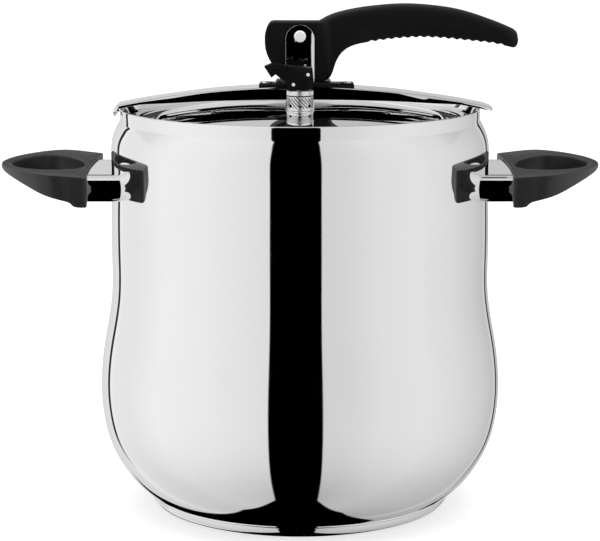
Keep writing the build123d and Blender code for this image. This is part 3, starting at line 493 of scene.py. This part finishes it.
def skinned(name, lines):
    """A skin over lines of equally many points, bridged pair by pair. It stays in edit mode."""
    piece = draw(name, lines)
    count = len(lines[0])
    for number in range(len(lines) - 1):
        low, high = number * count, (number + 2) * count
        choose(piece, lambda index, place: low <= index < high)
        bpy.ops.mesh.bridge_edge_loops()
    return piece


def modifier(piece, kind, **settings):
    """Adds a modifier with its settings and applies it."""
    pick(piece)
    change = piece.modifiers.new(kind.lower(), kind)
    for key, value in settings.items():
        setattr(change, key, value)
    bpy.ops.object.modifier_apply(modifier=change.name)


def mirror_half(piece):
    """Completes a shape drawn on the rear side of the upright plane through the middle."""
    modifier(piece, "MIRROR", use_axis=(False, True, False), use_clip=True, merge_threshold=0.02 * MM)
    bpy.ops.object.mode_set(mode="EDIT")
    tidy_shell()
    bpy.ops.object.mode_set(mode="OBJECT")


def rounded(piece, width, segments):
    """Small rounds on the sharp edges."""
    modifier(piece, "BEVEL", width=width * MM, segments=segments, limit_method="ANGLE",
             angle_limit=math.radians(35), use_clamp_overlap=True)


def place_piece(piece, body, slot, stands_for=(), angle=35, material=None):
    """Shades a finished piece, gives it its finish and lets it ride on its body."""
    pick(piece)
    bpy.ops.object.transform_apply(location=True, rotation=True, scale=True)
    bpy.ops.object.shade_smooth_by_angle(angle=math.radians(angle))
    piece.data.materials.clear()
    piece.data.materials.append(FINISHES[material or slot])
    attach(piece, body)
    if stands_for:
        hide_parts(*stands_for)
    print(f"{piece.name}: {len(piece.data.polygons)} faces on {body}")
    return piece


FLAT_ANGLE = math.radians(0.2)


def copy_of(node, name, body, slot, edge, segments=2, material=None):
    """A finished copy of a CAD node: its loose triangles are joined and its sharp edges rounded."""
    pick(NODES[node])
    bpy.ops.object.duplicate(linked=False)
    piece = bpy.context.object
    piece.name = piece.data.name = name
    del piece["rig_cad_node"]
    bpy.ops.object.parent_clear(type="CLEAR_KEEP_TRANSFORM")
    bpy.ops.object.mode_set(mode="EDIT")
    bpy.ops.mesh.select_all(action="SELECT")
    bpy.ops.mesh.remove_doubles(threshold=JOIN_WITHIN)
    bpy.ops.mesh.dissolve_limited(angle_limit=FLAT_ANGLE)
    bpy.ops.object.mode_set(mode="OBJECT")
    if edge:
        rounded(piece, edge, segments)
    return place_piece(piece, body, slot, (node,), material=material)


# %% [markdown]
# The pot is deep-drawn from one sheet: a small flat foot, a round belly, a waist, and a straight collar
# above a crease. Its rim turns inwards into a ledge with an oval mouth, under which the lid closes. A
# turned shape is drawn as half a section and spun. The curve is the one that the CAD source uses, with
# many steps, so that the mirror has no facets.

# %% Pot
CREASE = RIM - 8.5
WALL = 1.0
FLOOR = SEAM - 0.6
BELLY_LINE = [(94.8 - COLLAR, 0.0), (-7.2, 0.031), (0.9, 0.076), (8.1, 0.135), (12.7, 0.216),
              (13.7, 0.306), (11.0, 0.413), (6.7, 0.526), (6.1, 0.638), (6.0, 0.764), (5.6, 0.885),
              (4.6, 0.962), (0.6, 1.0)]
LEDGE = RIM - 6.5
MOUTH = (98.0, 92.0)
LEDGE_EDGE = (MOUTH[0] + MOUTH[1]) / 2
outer = smooth([(COLLAR + out, SEAM + share * (CREASE - SEAM)) for out, share in BELLY_LINE], 110)
inner = [(radius - WALL, height) for radius, height in reversed(outer) if height > SEAM + 3]
outline = [(0, FLOOR), (91.5, FLOOR), (94.4, FLOOR + 0.2)] + outer
outline += [(110.0, CREASE + 0.7), (110.0, CREASE + 1.3), (110.0, RIM - 1.0), (109.9, RIM - 0.55),
            (109.6, RIM - 0.2), (109.1, RIM - 0.02), (108.6, RIM - 0.02), (108.2, RIM - 0.2),
            (107.9, RIM - 0.7)]
outline += [(105.4, LEDGE + 1.6), (104.6, LEDGE + 0.6), (103.4, LEDGE + 0.1), (102.4, LEDGE)]
outline += [(LEDGE_EDGE + 0.4, LEDGE), (LEDGE_EDGE, LEDGE - 0.3), (LEDGE_EDGE, LEDGE - 0.9),
            (LEDGE_EDGE + 0.4, LEDGE - 1.2)]
outline += [(105.0, LEDGE - 1.2), (108.4, LEDGE + 1.4), (109.0, RIM - 3.0), (109.0, CREASE + 0.4)]
outline += inner + [(94.6, FLOOR + 2.2), (91.0, FLOOR + 1.1), (0, FLOOR + 1.0)]
pot = spun("pot_shell", outline, steps=224)
pick(pot)
bpy.ops.object.mode_set(mode="EDIT")
choose(pot, lambda index, place: place.z > LEDGE - 1.5 and place.xy.length < LEDGE_EDGE + 1)
bpy.ops.transform.resize(value=(MOUTH[0] / LEDGE_EDGE, MOUTH[1] / LEDGE_EDGE, 1), center_override=(0, 0, 0))
bpy.ops.object.mode_set(mode="OBJECT")
place_piece(pot, "pot", "polished_steel", ("pot_body",), angle=50)

# %% [markdown]
# The base is a thin steel pan pressed round an aluminium disc. Its side bulges a little and ends in a fine
# rolled edge under the pot, which shows as a bright and a dark line.

# %% Base pan
pan_side = smooth([(87.2, 0.6), (90.4, 1.6), (92.3, 3.6), (93.6, 6.0), (94.1, 7.4)], 14)
outline = [(0, 0.0), (86.0, 0.0), (86.8, 0.15)] + pan_side
outline += [(94.5, 7.7), (94.7, 8.0), (94.65, 8.35), (94.3, SEAM - 0.02), (93.6, SEAM - 0.1),
            (93.4, FLOOR - 0.1), (0, FLOOR - 0.1)]
place_piece(spun("base_pan", outline, steps=224), "pot", "polished_steel", ("base_cap",), angle=40)

# %% [markdown]
# The lid is pressed from one sheet too: flat in the middle, where the bracket is riveted, then a low dome, a
# step, and a level band that carries the rubber ring. Only its outer edge is oval, so it can be turned in
# through the oval mouth. It is spun round, and its outermost ring is then scaled into the oval.

# %% Lid
LID_TOP = RIM + 1.0
LID_T = 1.2
DOME_R, DOME_DROP, FLAT_R = 86.5, 6.1, 20.0
DOME_CURVE = ((DOME_R - FLAT_R) ** 2 + DOME_DROP ** 2) / (2 * DOME_DROP)
BAND = LEDGE - 1.2 - 0.3 - 1.0
LID_EDGE = (101.9, 95.9)


def dome(radius):
    """Height of the lid's top at a distance from its middle."""
    run = max(radius - FLAT_R, 0.0)
    return LID_TOP - DOME_CURVE + math.sqrt(DOME_CURVE ** 2 - run ** 2)


top = [(radius, dome(radius)) for radius in (0.0, 10.0, 18.0, 20.0, 22.0)]
top += [(22.0 + 4.2 * k, dome(22.0 + 4.2 * k)) for k in range(1, 15)]
top += [(84.0, dome(84.0)), (85.6, dome(85.6) - 0.1), (86.6, dome(86.5) - 0.5), (87.3, dome(86.5) - 1.2),
        (89.2, BAND + 0.9), (89.8, BAND + 0.3), (90.6, BAND), (92.4, BAND)]
lid_ring = 94.6
outline = top + [(lid_ring, BAND), (lid_ring, BAND - LID_T)]
outline += [(radius, height - LID_T) for radius, height in reversed(top)]
lid = spun("lid_shell", outline, steps=192)
pick(lid)
bpy.ops.object.mode_set(mode="EDIT")
choose(lid, lambda index, place: place.xy.length > lid_ring - 0.1)
bpy.ops.transform.resize(value=(LID_EDGE[0] / lid_ring, LID_EDGE[1] / lid_ring, 1), center_override=(0, 0, 0))
bpy.ops.object.mode_set(mode="OBJECT")
place_piece(lid, "lid", "polished_steel", ("lid",), angle=30)

# %% [markdown]
# Each valve stands on a small level seat pressed into the dome. It is a low turned disc with a soft edge.

# %% Valve seats
def valve_seat(name, y, radius, top_z):
    """A level disc that rises out of the dome under a valve."""
    low = dome(abs(y) + radius) - 0.8
    outline = [(0, low), (radius, low), (radius, top_z - 0.25), (radius - 0.25, top_z), (0, top_z)]
    place_piece(spun(name, outline, steps=64, centre=(0, y)), "lid", "polished_steel", angle=30)


VENT_H, VENT_SEAT_R, SAFETY_SEAT_R = 12.1, 8.1, 7.5
VENT_SEAT = VENT_TOP - VENT_H
SAFETY_SEAT = dome(abs(SAFETY_Y) - SAFETY_SEAT_R)
valve_seat("vent_seat", VENT_Y, VENT_SEAT_R, VENT_SEAT)
valve_seat("safety_seat", SAFETY_Y, SAFETY_SEAT_R, SAFETY_SEAT)

# %% [markdown]
# The bridge is a strap of thick sheet with its long edges turned down, which makes it stiff. It rests on
# the rim at both ends: the left end curls over the rim and the right end stands out as a flat tab. Half of
# its width is drawn as lines from end to end, bridged, mirrored, and then given its thickness.

# %% Bridge
STRAP_T = 1.8
REST = RIM + 0.2
SPAN = COLLAR - 0.5
RISE = BRIDGE_TOP - STRAP_T - REST
ARCH_R = (SPAN ** 2 + RISE ** 2) / (2 * RISE)
WEB_END = COLLAR - 10.0
WEB_LOW = BRIDGE_TOP - 8.1
TIP_CORNER = 4.0


def under_strap(x):
    """Height of the strap's underside."""
    return BRIDGE_TOP - STRAP_T - ARCH_R + math.sqrt(ARCH_R ** 2 - x * x)


def tangent_arc(start, heading, end, steps):
    """Arc that leaves a point along a heading and ends at another point, without its start."""
    chord = Vector(end) - Vector(start)
    turn = math.atan2(chord.y, chord.x) - math.atan2(heading[1], heading[0])
    turn = (turn + math.pi) % math.tau - math.pi
    radius = chord.length / (2 * math.sin(turn))
    angle = math.atan2(heading[1], heading[0])
    points = []
    for k in range(1, steps + 1):
        swing = 2 * turn * k / steps
        points.append((start[0] + radius * (math.sin(angle + swing) - math.sin(angle)),
                       start[1] - radius * (math.cos(angle + swing) - math.cos(angle))))
    return points


slope = SPAN / math.sqrt(ARCH_R ** 2 - SPAN ** 2)
middle = [(x, under_strap(x)) for x in np.linspace(-SPAN, SPAN, 89)]
left_curl = tangent_arc(middle[0], (-1, -slope), (-COLLAR - 1.6, REST - 4.4), 10)
right_tab = tangent_arc(middle[-1], (1, -slope), (COLLAR + 6.8, REST - 2.2), 10)
underside = left_curl[::-1] + middle + right_tab
heading = np.gradient(np.array(underside), axis=0)
heading /= np.linalg.norm(heading, axis=1)[:, None]
strap_top = np.array(underside) + STRAP_T * np.stack([-heading[:, 1], heading[:, 0]], axis=1)
web_end_z = under_strap(WEB_END) + 0.4
WEB_R = (WEB_END ** 2 + (WEB_LOW - web_end_z) ** 2) / (2 * (WEB_LOW - web_end_z))
length = np.concatenate([[0], np.cumsum(np.linalg.norm(np.diff(strap_top, axis=0), axis=1))])
strap_lines = [[], [], [], [], [], []]
for (x, z), (hx, hz), along in zip(strap_top, heading, length):
    tip = min(along, length[-1] - along, TIP_CORNER)
    half = BRIDGE_HALF - TIP_CORNER + math.sqrt(TIP_CORNER ** 2 - (TIP_CORNER - tip) ** 2)
    web_z = WEB_LOW - WEB_R + math.sqrt(WEB_R ** 2 - x * x) if abs(x) < WEB_END else z
    depth = max(z - web_z, STRAP_T + 0.05)
    ease = min(max((abs(x) - 52.0) / 36.0, 0.0), 1.0)
    bend = min(1.3 + 3.0 * ease * ease * (3 - 2 * ease), depth - 0.15, half - 8.0)
    stops = [(0, 0), (half - bend - 2, 0), (half - bend, 0), (half - 0.3 * bend, 0.3 * bend), (half, bend),
             (half, depth)]
    for line, (y, down) in zip(strap_lines, stops):
        line.append((x + hz * down, y, z - hx * down))
bridge = skinned("bridge_strap", strap_lines)
bpy.ops.object.mode_set(mode="OBJECT")
mirror_half(bridge)
modifier(bridge, "SOLIDIFY", thickness=STRAP_T * MM, offset=-1, use_even_offset=True)


def cut_away(piece, cutters):
    """Takes the cutters' volume out of a piece, and removes the cutters."""
    for cutter in cutters:
        modifier(piece, "BOOLEAN", operation="DIFFERENCE", solver="EXACT", object=cutter)
        bpy.data.objects.remove(cutter)


def block(name, x, y, z):
    """A plain block between limits in millimetres, for cutting."""
    bpy.ops.object.select_all(action="DESELECT")
    middle_point = [(a + b) / 2 * MM for a, b in (x, y, z)]
    bpy.ops.mesh.primitive_cube_add(size=1, location=middle_point)
    bpy.context.object.scale = [(b - a) * MM for a, b in (x, y, z)]
    bpy.ops.object.transform_apply(location=True, rotation=True, scale=True)
    bpy.context.object.name = name
    return bpy.context.object


SLOT_HALF, SLOT_INNER, SLOT_OUTER = 9.3, 9.3, 11.7
cut_away(bridge, [
    block("slot_cutter", (-SLOT_HALF, SLOT_HALF), sorted((side * SLOT_INNER, side * SLOT_OUTER)),
          (BRIDGE_TOP - 12, BRIDGE_TOP + 3))
    for side in (-1, 1)
])
place_piece(bridge, "bridge", "polished_steel", ("bridge",), angle=32)

# %% [markdown]
# Small hardware keeps the shape that the CAD gives it: the joined copy only gets its edges broken, which
# is where polished sheet catches the light.

# %% Pad, bracket, pins and rivets
copy_of("cam_pad", "pressure_pad", "bridge", "black_pad", 0.25)
copy_of("pad_rivets", "pad_rivet_heads", "bridge", "polished_steel", 0.0)
copy_of("lever_bracket", "bracket_plates", "lid", "polished_steel", 0.5, segments=3)
copy_of("bracket_rivets", "bracket_rivet_heads", "lid", "polished_steel", 0.0)
copy_of("lever_pin", "pin_with_head", "lid", "brushed_steel", 0.15, material="bright_pin")
copy_of("pin_clip", "pin_circlip", "lid", "brushed_steel", 0.12)

# %% [markdown]
# The lever is moulded bakelite: a thick cam head between the bracket plates and a long arm that droops at
# its end. A crease runs along its side, with a shallow scoop below it for the fingers, and fine scallops
# on the underside. Half of it is drawn as lines from the head to the tip.

# %% Lever
HEAD_HALF, ARM_HALF = 9.3, 12.3
CAM_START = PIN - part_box("cam_pad")[1].z / MM - 0.15
CAM_SLOPE = 6.0 / math.radians(90)
SCALLOPS = (41.0, 124.3)
SCALLOP_PITCH, SCALLOP_DEPTH = 4.9, 0.8


def cam(turn):
    """Point of the cam, from the pin, at a turn in degrees."""
    a = math.radians(turn)
    reach = CAM_START - CAM_SLOPE * a
    return -reach * math.sin(a) + CAM_SLOPE * math.cos(a), -reach * math.cos(a) - CAM_SLOPE * math.sin(a)


def stretch_line(parts):
    """Joins smooth stretches, each of its own number of steps, into one line."""
    line = []
    for points, steps in parts:
        line += smooth(points, steps)[1 if line else 0:]
    return line


upper = stretch_line([
    ([(-19.0, 6.9), (-18.4, 7.7), (-17.5, 8.3), (-16.0, 8.65), (-13.0, 8.7)], 8),
    ([(-13.0, 8.7), (0.0, 8.7), (11.6, 8.7)], 14),
    ([(11.6, 8.7), (13.4, 9.7), (16.0, 11.1), (22.5, 13.6), (33.4, 16.1), (40.0, 17.2)], 26),
    ([(40.0, 17.2), (63.0, 19.0), (80.0, 18.1), (96.5, 15.6), (112.5, 10.8), (127.6, 4.9), (129.6, 4.0)], 140),
    ([(129.6, 4.0), (130.9, 3.1), (131.7, 1.7), (132.1, 0.0), (132.15, -1.2)], 8),
])
lower = stretch_line([
    ([(-19.8, 5.6), (-20.6, 3.6), (-21.4, 0.0), cam(93), cam(88)], 8),
    ([cam(88 - 8 * k) for k in range(12)] + [(5.4, -CAM_START), (14.2, -CAM_START)], 14),
    ([(14.2, -CAM_START), (16.6, -26.6), (18.6, -24.4), (20.4, -20.0), (22.8, -13.6), (28.0, -7.8),
      (36.5, -4.6), (43.0, -3.5)], 26),
    ([(43.0, -3.5), (47.5, -2.9), (75.0, -0.9), (104.0, -3.1), (122.5, -5.5), (128.9, -7.0)], 140),
    ([(128.9, -7.0), (130.4, -6.7), (131.4, -5.6), (132.0, -4.2), (132.15, -2.8)], 8),
])
stations = len(upper)
share = np.interp(range(stations), [0, 22, 34, 42, 48, 75, 110, 150, 188, stations - 1],
                  [0.5, 0.7, 0.97, 0.72, 0.52, 0.40, 0.40, 0.48, 0.52, 0.5])
scoop = np.interp(range(stations), [0, 26, 36, 48, 60, 150, 180, 192, stations - 1],
                  [0, 0, 0.8, 2.4, 2.9, 2.6, 1.2, 0, 0])
lever_lines = [[] for _ in range(13)]
for k, (top_point, low_point) in enumerate(zip(upper, lower)):
    top_point, low_point = Vector(top_point), Vector(low_point)
    across = low_point - top_point
    size = across.length
    down = across / size
    x = top_point.x
    swell = min(max((min(x, low_point.x) - 12.6) / 5.0, 0.0), 1.0)
    half = HEAD_HALF + (ARM_HALF - HEAD_HALF) * swell * swell * (3 - 2 * swell)
    end_round = min(max((132.1 - x) / 7.0, 0.0), 1.0)
    half *= 0.72 + 0.28 * math.sqrt(1 - (1 - end_round) ** 2)
    ripple = 0.0
    if SCALLOPS[0] < low_point.x < SCALLOPS[1]:
        ripple = SCALLOP_DEPTH * (0.5 - 0.5 * math.cos(math.tau * (low_point.x - SCALLOPS[0]) / SCALLOP_PITCH))
    crease = share[k] * size
    deep = scoop[k]
    soft = 0.35 if x < 12 else 1.0
    stops = [
        (0, 0.0), (0.6 * half, 0.12 * soft), (half - 2.6 * soft, 0.6 * soft), (half - 0.7 * soft, 2.0 * soft),
        (half, min(4.2 * soft, 0.6 * crease)), (half, crease - min(1.0, 0.2 * size)),
        (half - 0.12 * deep, crease), (half - 0.5 * deep, crease + min(1.6, 0.2 * (size - crease))),
        (half - deep, crease + 0.55 * (size - crease)),
        (half - 0.9 * deep, size - min(1.8, 0.2 * size) - 0.5 * ripple),
        (half - deep - 1.0 * soft, size - 0.25 - ripple), (0.55 * half, size - ripple), (0, size - ripple),
    ]
    for line, (y, along) in zip(lever_lines, stops):
        place = top_point + down * min(along, size)
        line.append((place.x, y, PIN + place.y))
lever = skinned("lever_handle", lever_lines)
for end in (0, stations - 1):
    choose(lever, lambda index, place: index % stations == end)
    bpy.ops.mesh.edge_face_add()
bpy.ops.object.mode_set(mode="OBJECT")
mirror_half(lever)
place_piece(lever, "lever", "bakelite", ("lever_grip",), angle=38, material="lever_bakelite")

# %% [markdown]
# Each side handle is a blunt wing of bakelite with an oval finger opening and a dished edge round it. Half
# of it is drawn as lines that run round the opening, from the tip to the pot, and then it is mirrored.
# The screws sit deep in bores that open into the finger hole.

# %% Side handles
HOLE_AT, HOLE_X, HOLE_Y = 28.5, 21.8, 33.4
top_curve = np.array(smooth([(-1.0, 9.2), (24.0, 11.5), (44.0, 11.95), (58.5, 11.8)], 60))
low_curve = np.array(smooth([(-1.0, -8.4), (6.5, -8.3), (8.3, -7.7), (10.3, -5.6), (12.0, -4.9), (18.8, -3.0),
                             (26.3, -0.7), (36.3, 2.8), (48.4, 6.5), (58.5, 8.75)], 120))


def handle_top(x):
    """Height of the handle's top above its middle, at a distance from its inner corners."""
    return float(np.interp(x, top_curve[:, 0], top_curve[:, 1]))


def handle_low(x):
    """Height of its underside."""
    return float(np.interp(x, low_curve[:, 0], low_curve[:, 1]))


WING_TIP = (57.2, 0.0)
wing = smooth([(34.5, -51.0), (47.0, -33.5), WING_TIP, (47.0, 33.5), (34.5, 51.0), (22.5, 60.0), (10.0, 59.3),
               (1.3, 58.6)], 90)
wing = [point for point in wing if point[1] >= 0]
wing[0] = WING_TIP
hollow = [(0.35, 58.2), (0.05, 57.4)] + [(2.5 * (1 - (y / 58.5) ** 2), y) for y in np.linspace(54, 0, 22)]
rim_line = wing + hollow
handle_lines = [[] for _ in range(15)]
for x, y in rim_line:
    angle = math.atan2(y / 60.0, (x - HOLE_AT) / 28.2)
    hole = Vector((HOLE_AT + HOLE_X * math.cos(angle), HOLE_Y * math.sin(angle)))
    edge = Vector((x, y))
    wide = (edge - hole).length
    out = (edge - hole) / wide
    stops = [
        (0.0, "low", -2.0), (0.0, "top", -2.0), (0.2, "top", -1.2), (0.7, "top", -0.8),
        (min(3.0, 0.38 * wide), "top", -0.3), (min(3.8, 0.46 * wide), "top", -0.1),
        (min(4.8, 0.54 * wide), "top", 0.0), (wide - 1.3, "top", 0.0), (wide - 0.35, "top", -0.35),
        (wide, "top", -1.2), (wide, "low", 1.2), (wide - 0.5, "low", 0.35), (wide - 1.4, "low", 0.0),
        (min(2.6, 0.35 * wide), "low", 0.0), (min(0.8, 0.12 * wide), "low", -2.4),
    ]
    for line, (along, level, offset) in zip(handle_lines, stops):
        place = hole + out * along
        z = handle_top(place.x) if level == "top" else handle_low(place.x)
        thick = handle_top(place.x) - handle_low(place.x)
        offset = max(min(offset, 0.42 * thick), -0.75 * thick)
        line.append((HANDLE_X + place.x, max(place.y, 0.0), HANDLE_Z + z + offset))
handle_lines.append(handle_lines[0])
handle = skinned("handle_right", handle_lines)
bpy.ops.object.mode_set(mode="OBJECT")
mirror_half(handle)


def bar_along_x(name, radius, x, y, z, sides=40):
    """A round bar along X, for cutting."""
    bpy.ops.object.select_all(action="DESELECT")
    bpy.ops.mesh.primitive_cylinder_add(
        vertices=sides, radius=radius * MM, depth=(x[1] - x[0]) * MM,
        location=((x[0] + x[1]) / 2 * MM, y * MM, z * MM), rotation=(0, math.pi / 2, 0),
    )
    bpy.ops.object.transform_apply(location=True, rotation=True, scale=True)
    bpy.context.object.name = name
    return bpy.context.object


BORE_R, BORE_Y, BORE_X = 4.35, 24, (HANDLE_X + 7.5, HANDLE_X + 26)
cut_away(handle, [bar_along_x("screw_bore", BORE_R, BORE_X, side * BORE_Y, HANDLE_Z) for side in (-1, 1)])


def left_copy(piece, name):
    """The same piece on the other side of the pot, with a mesh of its own."""
    pick(piece)
    bpy.ops.object.duplicate(linked=False)
    copy = bpy.context.object
    copy.name = copy.data.name = name
    bpy.ops.object.mode_set(mode="EDIT")
    bpy.ops.mesh.select_all(action="SELECT")
    bpy.ops.transform.mirror(constraint_axis=(True, False, False), center_override=(0, 0, 0))
    tidy_shell()
    bpy.ops.object.mode_set(mode="OBJECT")
    return copy


handle_left = left_copy(handle, "handle_left")
place_piece(handle, "pot", "bakelite", ("side_handle_right",), angle=32)
place_piece(handle_left, "pot", "bakelite", ("side_handle_left",), angle=32)

# %% [markdown]
# A polished oblong sleeve hides the welded bar between pot and handle. Two half outlines, one that follows
# the pot's wall and one inside the handle, are bridged, mirrored and given a wall.

# %% Cuffs
CUFF_W, CUFF_H, CUFF_T = 88.0, 16.0, 0.8
CUFF_FLAT = (CUFF_W - CUFF_H) / 2
wall_radius = COLLAR + 5.85 - 0.3
oblong = [(y, CUFF_H / 2) for y in np.linspace(0, CUFF_FLAT, 14)]
oblong += [(CUFF_FLAT + CUFF_H / 2 * math.sin(a), CUFF_H / 2 * math.cos(a))
           for a in np.linspace(0.12, math.pi - 0.12, 25)]
oblong += [(y, -CUFF_H / 2) for y in np.linspace(CUFF_FLAT, 0, 14)]
near_line = [(math.sqrt(wall_radius ** 2 - y * y), y, HANDLE_Z + z) for y, z in oblong]
far_line = [(HANDLE_X + 3.2, y, HANDLE_Z + z) for y, z in oblong]
cuff = skinned("cuff_right", [near_line, far_line])
bpy.ops.object.mode_set(mode="OBJECT")
mirror_half(cuff)
modifier(cuff, "SOLIDIFY", thickness=CUFF_T * MM, offset=-1)
cuff_left = left_copy(cuff, "cuff_left")
place_piece(cuff, "pot", "polished_steel", ("handle_cuff_right",), angle=40)
place_piece(cuff_left, "pot", "polished_steel", ("handle_cuff_left",), angle=40)
for side in ("left", "right"):
    copy_of(f"handle_screws_{side}", f"screws_{side}", "pot", "zinc_screw", 0.1)
    copy_of(f"handle_washers_{side}", f"washers_{side}", "pot", "zinc_screw", 0.1)

# %% [markdown]
# The vent is a nickel-plated barrel with a plain top band, a diamond knurl for the fingers, and a ring of
# steam holes near its foot. It is spun as a tube. The knurl is real: every second point of its grid is
# pulled in a little, which leaves rows of small pyramids. The holes are drilled at the end.

# %% Vent barrel
VENT_R, CHAMBER_R = 8.0, 6.2
CHAMBER_LOW = VENT_SEAT + 1.8
KNURL = (VENT_SEAT + 0.9, VENT_TOP - 3.6)
KNURL_ROWS, KNURL_SIDES, KNURL_DEPTH = 7, 44, 0.45
knurl_rows = [(VENT_R, z) for z in np.linspace(*KNURL, KNURL_ROWS + 1)]
STEM_R, STEM_BORE_R, STEM_LOW = 4.5, 1.5, VENT_SEAT - 9.0
outline = [(STEM_BORE_R, STEM_LOW), (STEM_R, STEM_LOW), (STEM_R, VENT_SEAT + 0.1),
           (VENT_R - 0.3, VENT_SEAT + 0.1), (VENT_R, VENT_SEAT + 0.4)] + knurl_rows
outline += [(VENT_R - 0.4, VENT_TOP - 3.4), (VENT_R - 0.4, VENT_TOP - 3.0), (VENT_R, VENT_TOP - 2.8),
            (VENT_R, VENT_TOP - 0.5), (VENT_R - 0.3, VENT_TOP - 0.1), (VENT_R - 0.7, VENT_TOP),
            (CHAMBER_R, VENT_TOP), (CHAMBER_R, CHAMBER_LOW), (STEM_BORE_R, CHAMBER_LOW),
            (STEM_BORE_R, STEM_LOW)]
vent = spun("vent_barrel", outline, steps=KNURL_SIDES, centre=(0, VENT_Y))
pick(vent)
bpy.ops.object.mode_set(mode="EDIT")
row_height = (KNURL[1] - KNURL[0]) / KNURL_ROWS


def knurl_hollow(place):
    """True for every second point of the knurl's grid, in a chequer."""
    x, y = place.x, place.y - VENT_Y
    if abs(math.hypot(x, y) - VENT_R) > 0.05 or not KNURL[0] + 0.1 < place.z < KNURL[1] - 0.1:
        return False
    row = round((place.z - KNURL[0]) / row_height)
    column = round(math.atan2(y, x) / math.tau * KNURL_SIDES)
    return (row + column) % 2 == 0


choose(vent, lambda index, place: knurl_hollow(place))
factor = 1 - KNURL_DEPTH / VENT_R
bpy.ops.transform.resize(value=(factor, factor, 1), center_override=(0, VENT_Y * MM, 0))
bpy.ops.object.mode_set(mode="OBJECT")
STEAM_HOLE_R = 0.95
drills = []
for k in range(4):
    drill = bar_along_x("steam_drill", STEAM_HOLE_R, (-12, 12), 0, 0, sides=20)
    pick(drill)
    bpy.ops.object.mode_set(mode="EDIT")
    bpy.ops.mesh.select_all(action="SELECT")
    bpy.ops.transform.rotate(value=math.radians(45 * k), orient_axis="Z", center_override=(0, 0, 0))
    bpy.ops.transform.translate(value=(0, VENT_Y * MM, (CHAMBER_LOW + 1.3) * MM))
    bpy.ops.object.mode_set(mode="OBJECT")
    drills.append(drill)
cut_away(vent, drills)

# painted shade in the barrel's grooves, pits and steam holes, so the knurl reads: the base colour is darker
# where the radius is smaller
knurled = FINISHES["nickel_valve"].copy()
knurled.name = "knurled_nickel_pit_shade"
FINISHES["knurled_nickel_pit_shade"] = knurled
tree = knurled.node_tree
shader = tree.nodes["Principled BSDF"]
tone = shader.inputs["Base Color"].links[0].from_socket
parts = add_node(tree, "ShaderNodeSeparateXYZ")
tree.links.new(add_node(tree, "ShaderNodeTexCoord").outputs["Object"], parts.inputs[0])
off_y = math_node(tree, "SUBTRACT", parts.outputs[1], VENT_Y * MM)
squares = math_node(tree, "ADD", math_node(tree, "MULTIPLY", parts.outputs[0], parts.outputs[0]),
                    math_node(tree, "MULTIPLY", off_y, off_y))
depth = add_node(tree, "ShaderNodeMapRange")
for index, value in enumerate(((VENT_R - 0.42) * MM, (VENT_R - 0.16) * MM, 0.04, 1.0)):
    depth.inputs[index + 1].default_value = value
tree.links.new(math_node(tree, "SQRT", squares), depth.inputs[0])
# painted shade: the tone is scaled down towards the bottom of each pit and groove
pit_shade = add_node(tree, "ShaderNodeVectorMath", operation="SCALE")
tree.links.new(tone, pit_shade.inputs[0])
tree.links.new(depth.outputs[0], pit_shade.inputs["Scale"])
tree.links.new(pit_shade.outputs[0], shader.inputs["Base Color"])
place_piece(vent, "lid", "nickel_valve", ("vent_body",), angle=18, material="knurled_nickel_pit_shade")

# %% Vent top and safety valve
copy_of("vent_cap", "vent_cap_ear", "lid", "nickel_valve", 0.15)
copy_of("vent_lever", "flip_lever", "vent_flap", "black_flap", 0.4)
copy_of("vent_pivot_pin", "flip_pivot", "lid", "polished_steel", 0.15, material="bright_pin")
copy_of("vent_link_pin", "flip_link", "vent_flap", "polished_steel", 0.15, material="bright_pin")
copy_of("vent_plunger", "vent_needle_stem", "vent_needle", "nickel_valve", 0.12)
copy_of("vent_nut", "vent_hex_nut", "lid", "brushed_steel", 0.3)
copy_of("safety_body", "safety_barrel", "lid", "brass_valve", 0.2)
copy_of("safety_cap", "safety_lid", "lid", "brass_valve", 0.15)
copy_of("safety_nut", "safety_hex_nut", "lid", "brushed_steel", 0.3)

# %% [markdown]
# What is left keeps its CAD mesh, because it is hidden or already right: the lid's rubber ring, the seals,
# springs, the core of the base and the bars inside the cuffs. Each gets its finish by name.

# %% Finishes of the CAD nodes that stay
STAYING = {
    "aluminium_core": ["base_core"],
    "rubber_seal": ["lid_gasket", "vent_seal", "safety_seal"],
    "brushed_steel": ["handle_bracket_left", "handle_bracket_right", "lever_core", "lever_bush"],
    "spring_wire": ["vent_spring", "safety_spring"],
    "brass_valve": ["safety_plunger"],
}
for slot, names in STAYING.items():
    for name in names:
        for holder in NODES[name].material_slots:
            holder.material = FINISHES[slot]
staying_names = sum(STAYING.values(), [])
left_over = [name for name, node in NODES.items() if not node.hide_render and name not in staying_names]
print("CAD nodes with no finish of their own:", left_over)

# %% [markdown]
# The table is a plain pale sheet, lit to near white. It is kept out of the mirror, because the world
# already holds what the steel should see below it.

# %% Table
bpy.ops.object.select_all(action="DESELECT")
bpy.ops.mesh.primitive_plane_add(size=12, location=(0, 0, 0))
table = bpy.context.object
table.name = "table"
paper = bpy.data.materials.new("paper")
paper.use_nodes = True
paper_shader = paper.node_tree.nodes["Principled BSDF"]
paper_shader.inputs["Base Color"].default_value = (0.55, 0.55, 0.55, 1)
paper_shader.inputs["Roughness"].default_value = 0.9
paper_shader.inputs["Specular IOR Level"].default_value = 0.0
paper_shader.inputs["Emission Color"].default_value = (1, 1, 1, 1)
paper_shader.inputs["Emission Strength"].default_value = 0.55
table.data.materials.append(paper)
table.visible_glossy = False
print("table set")
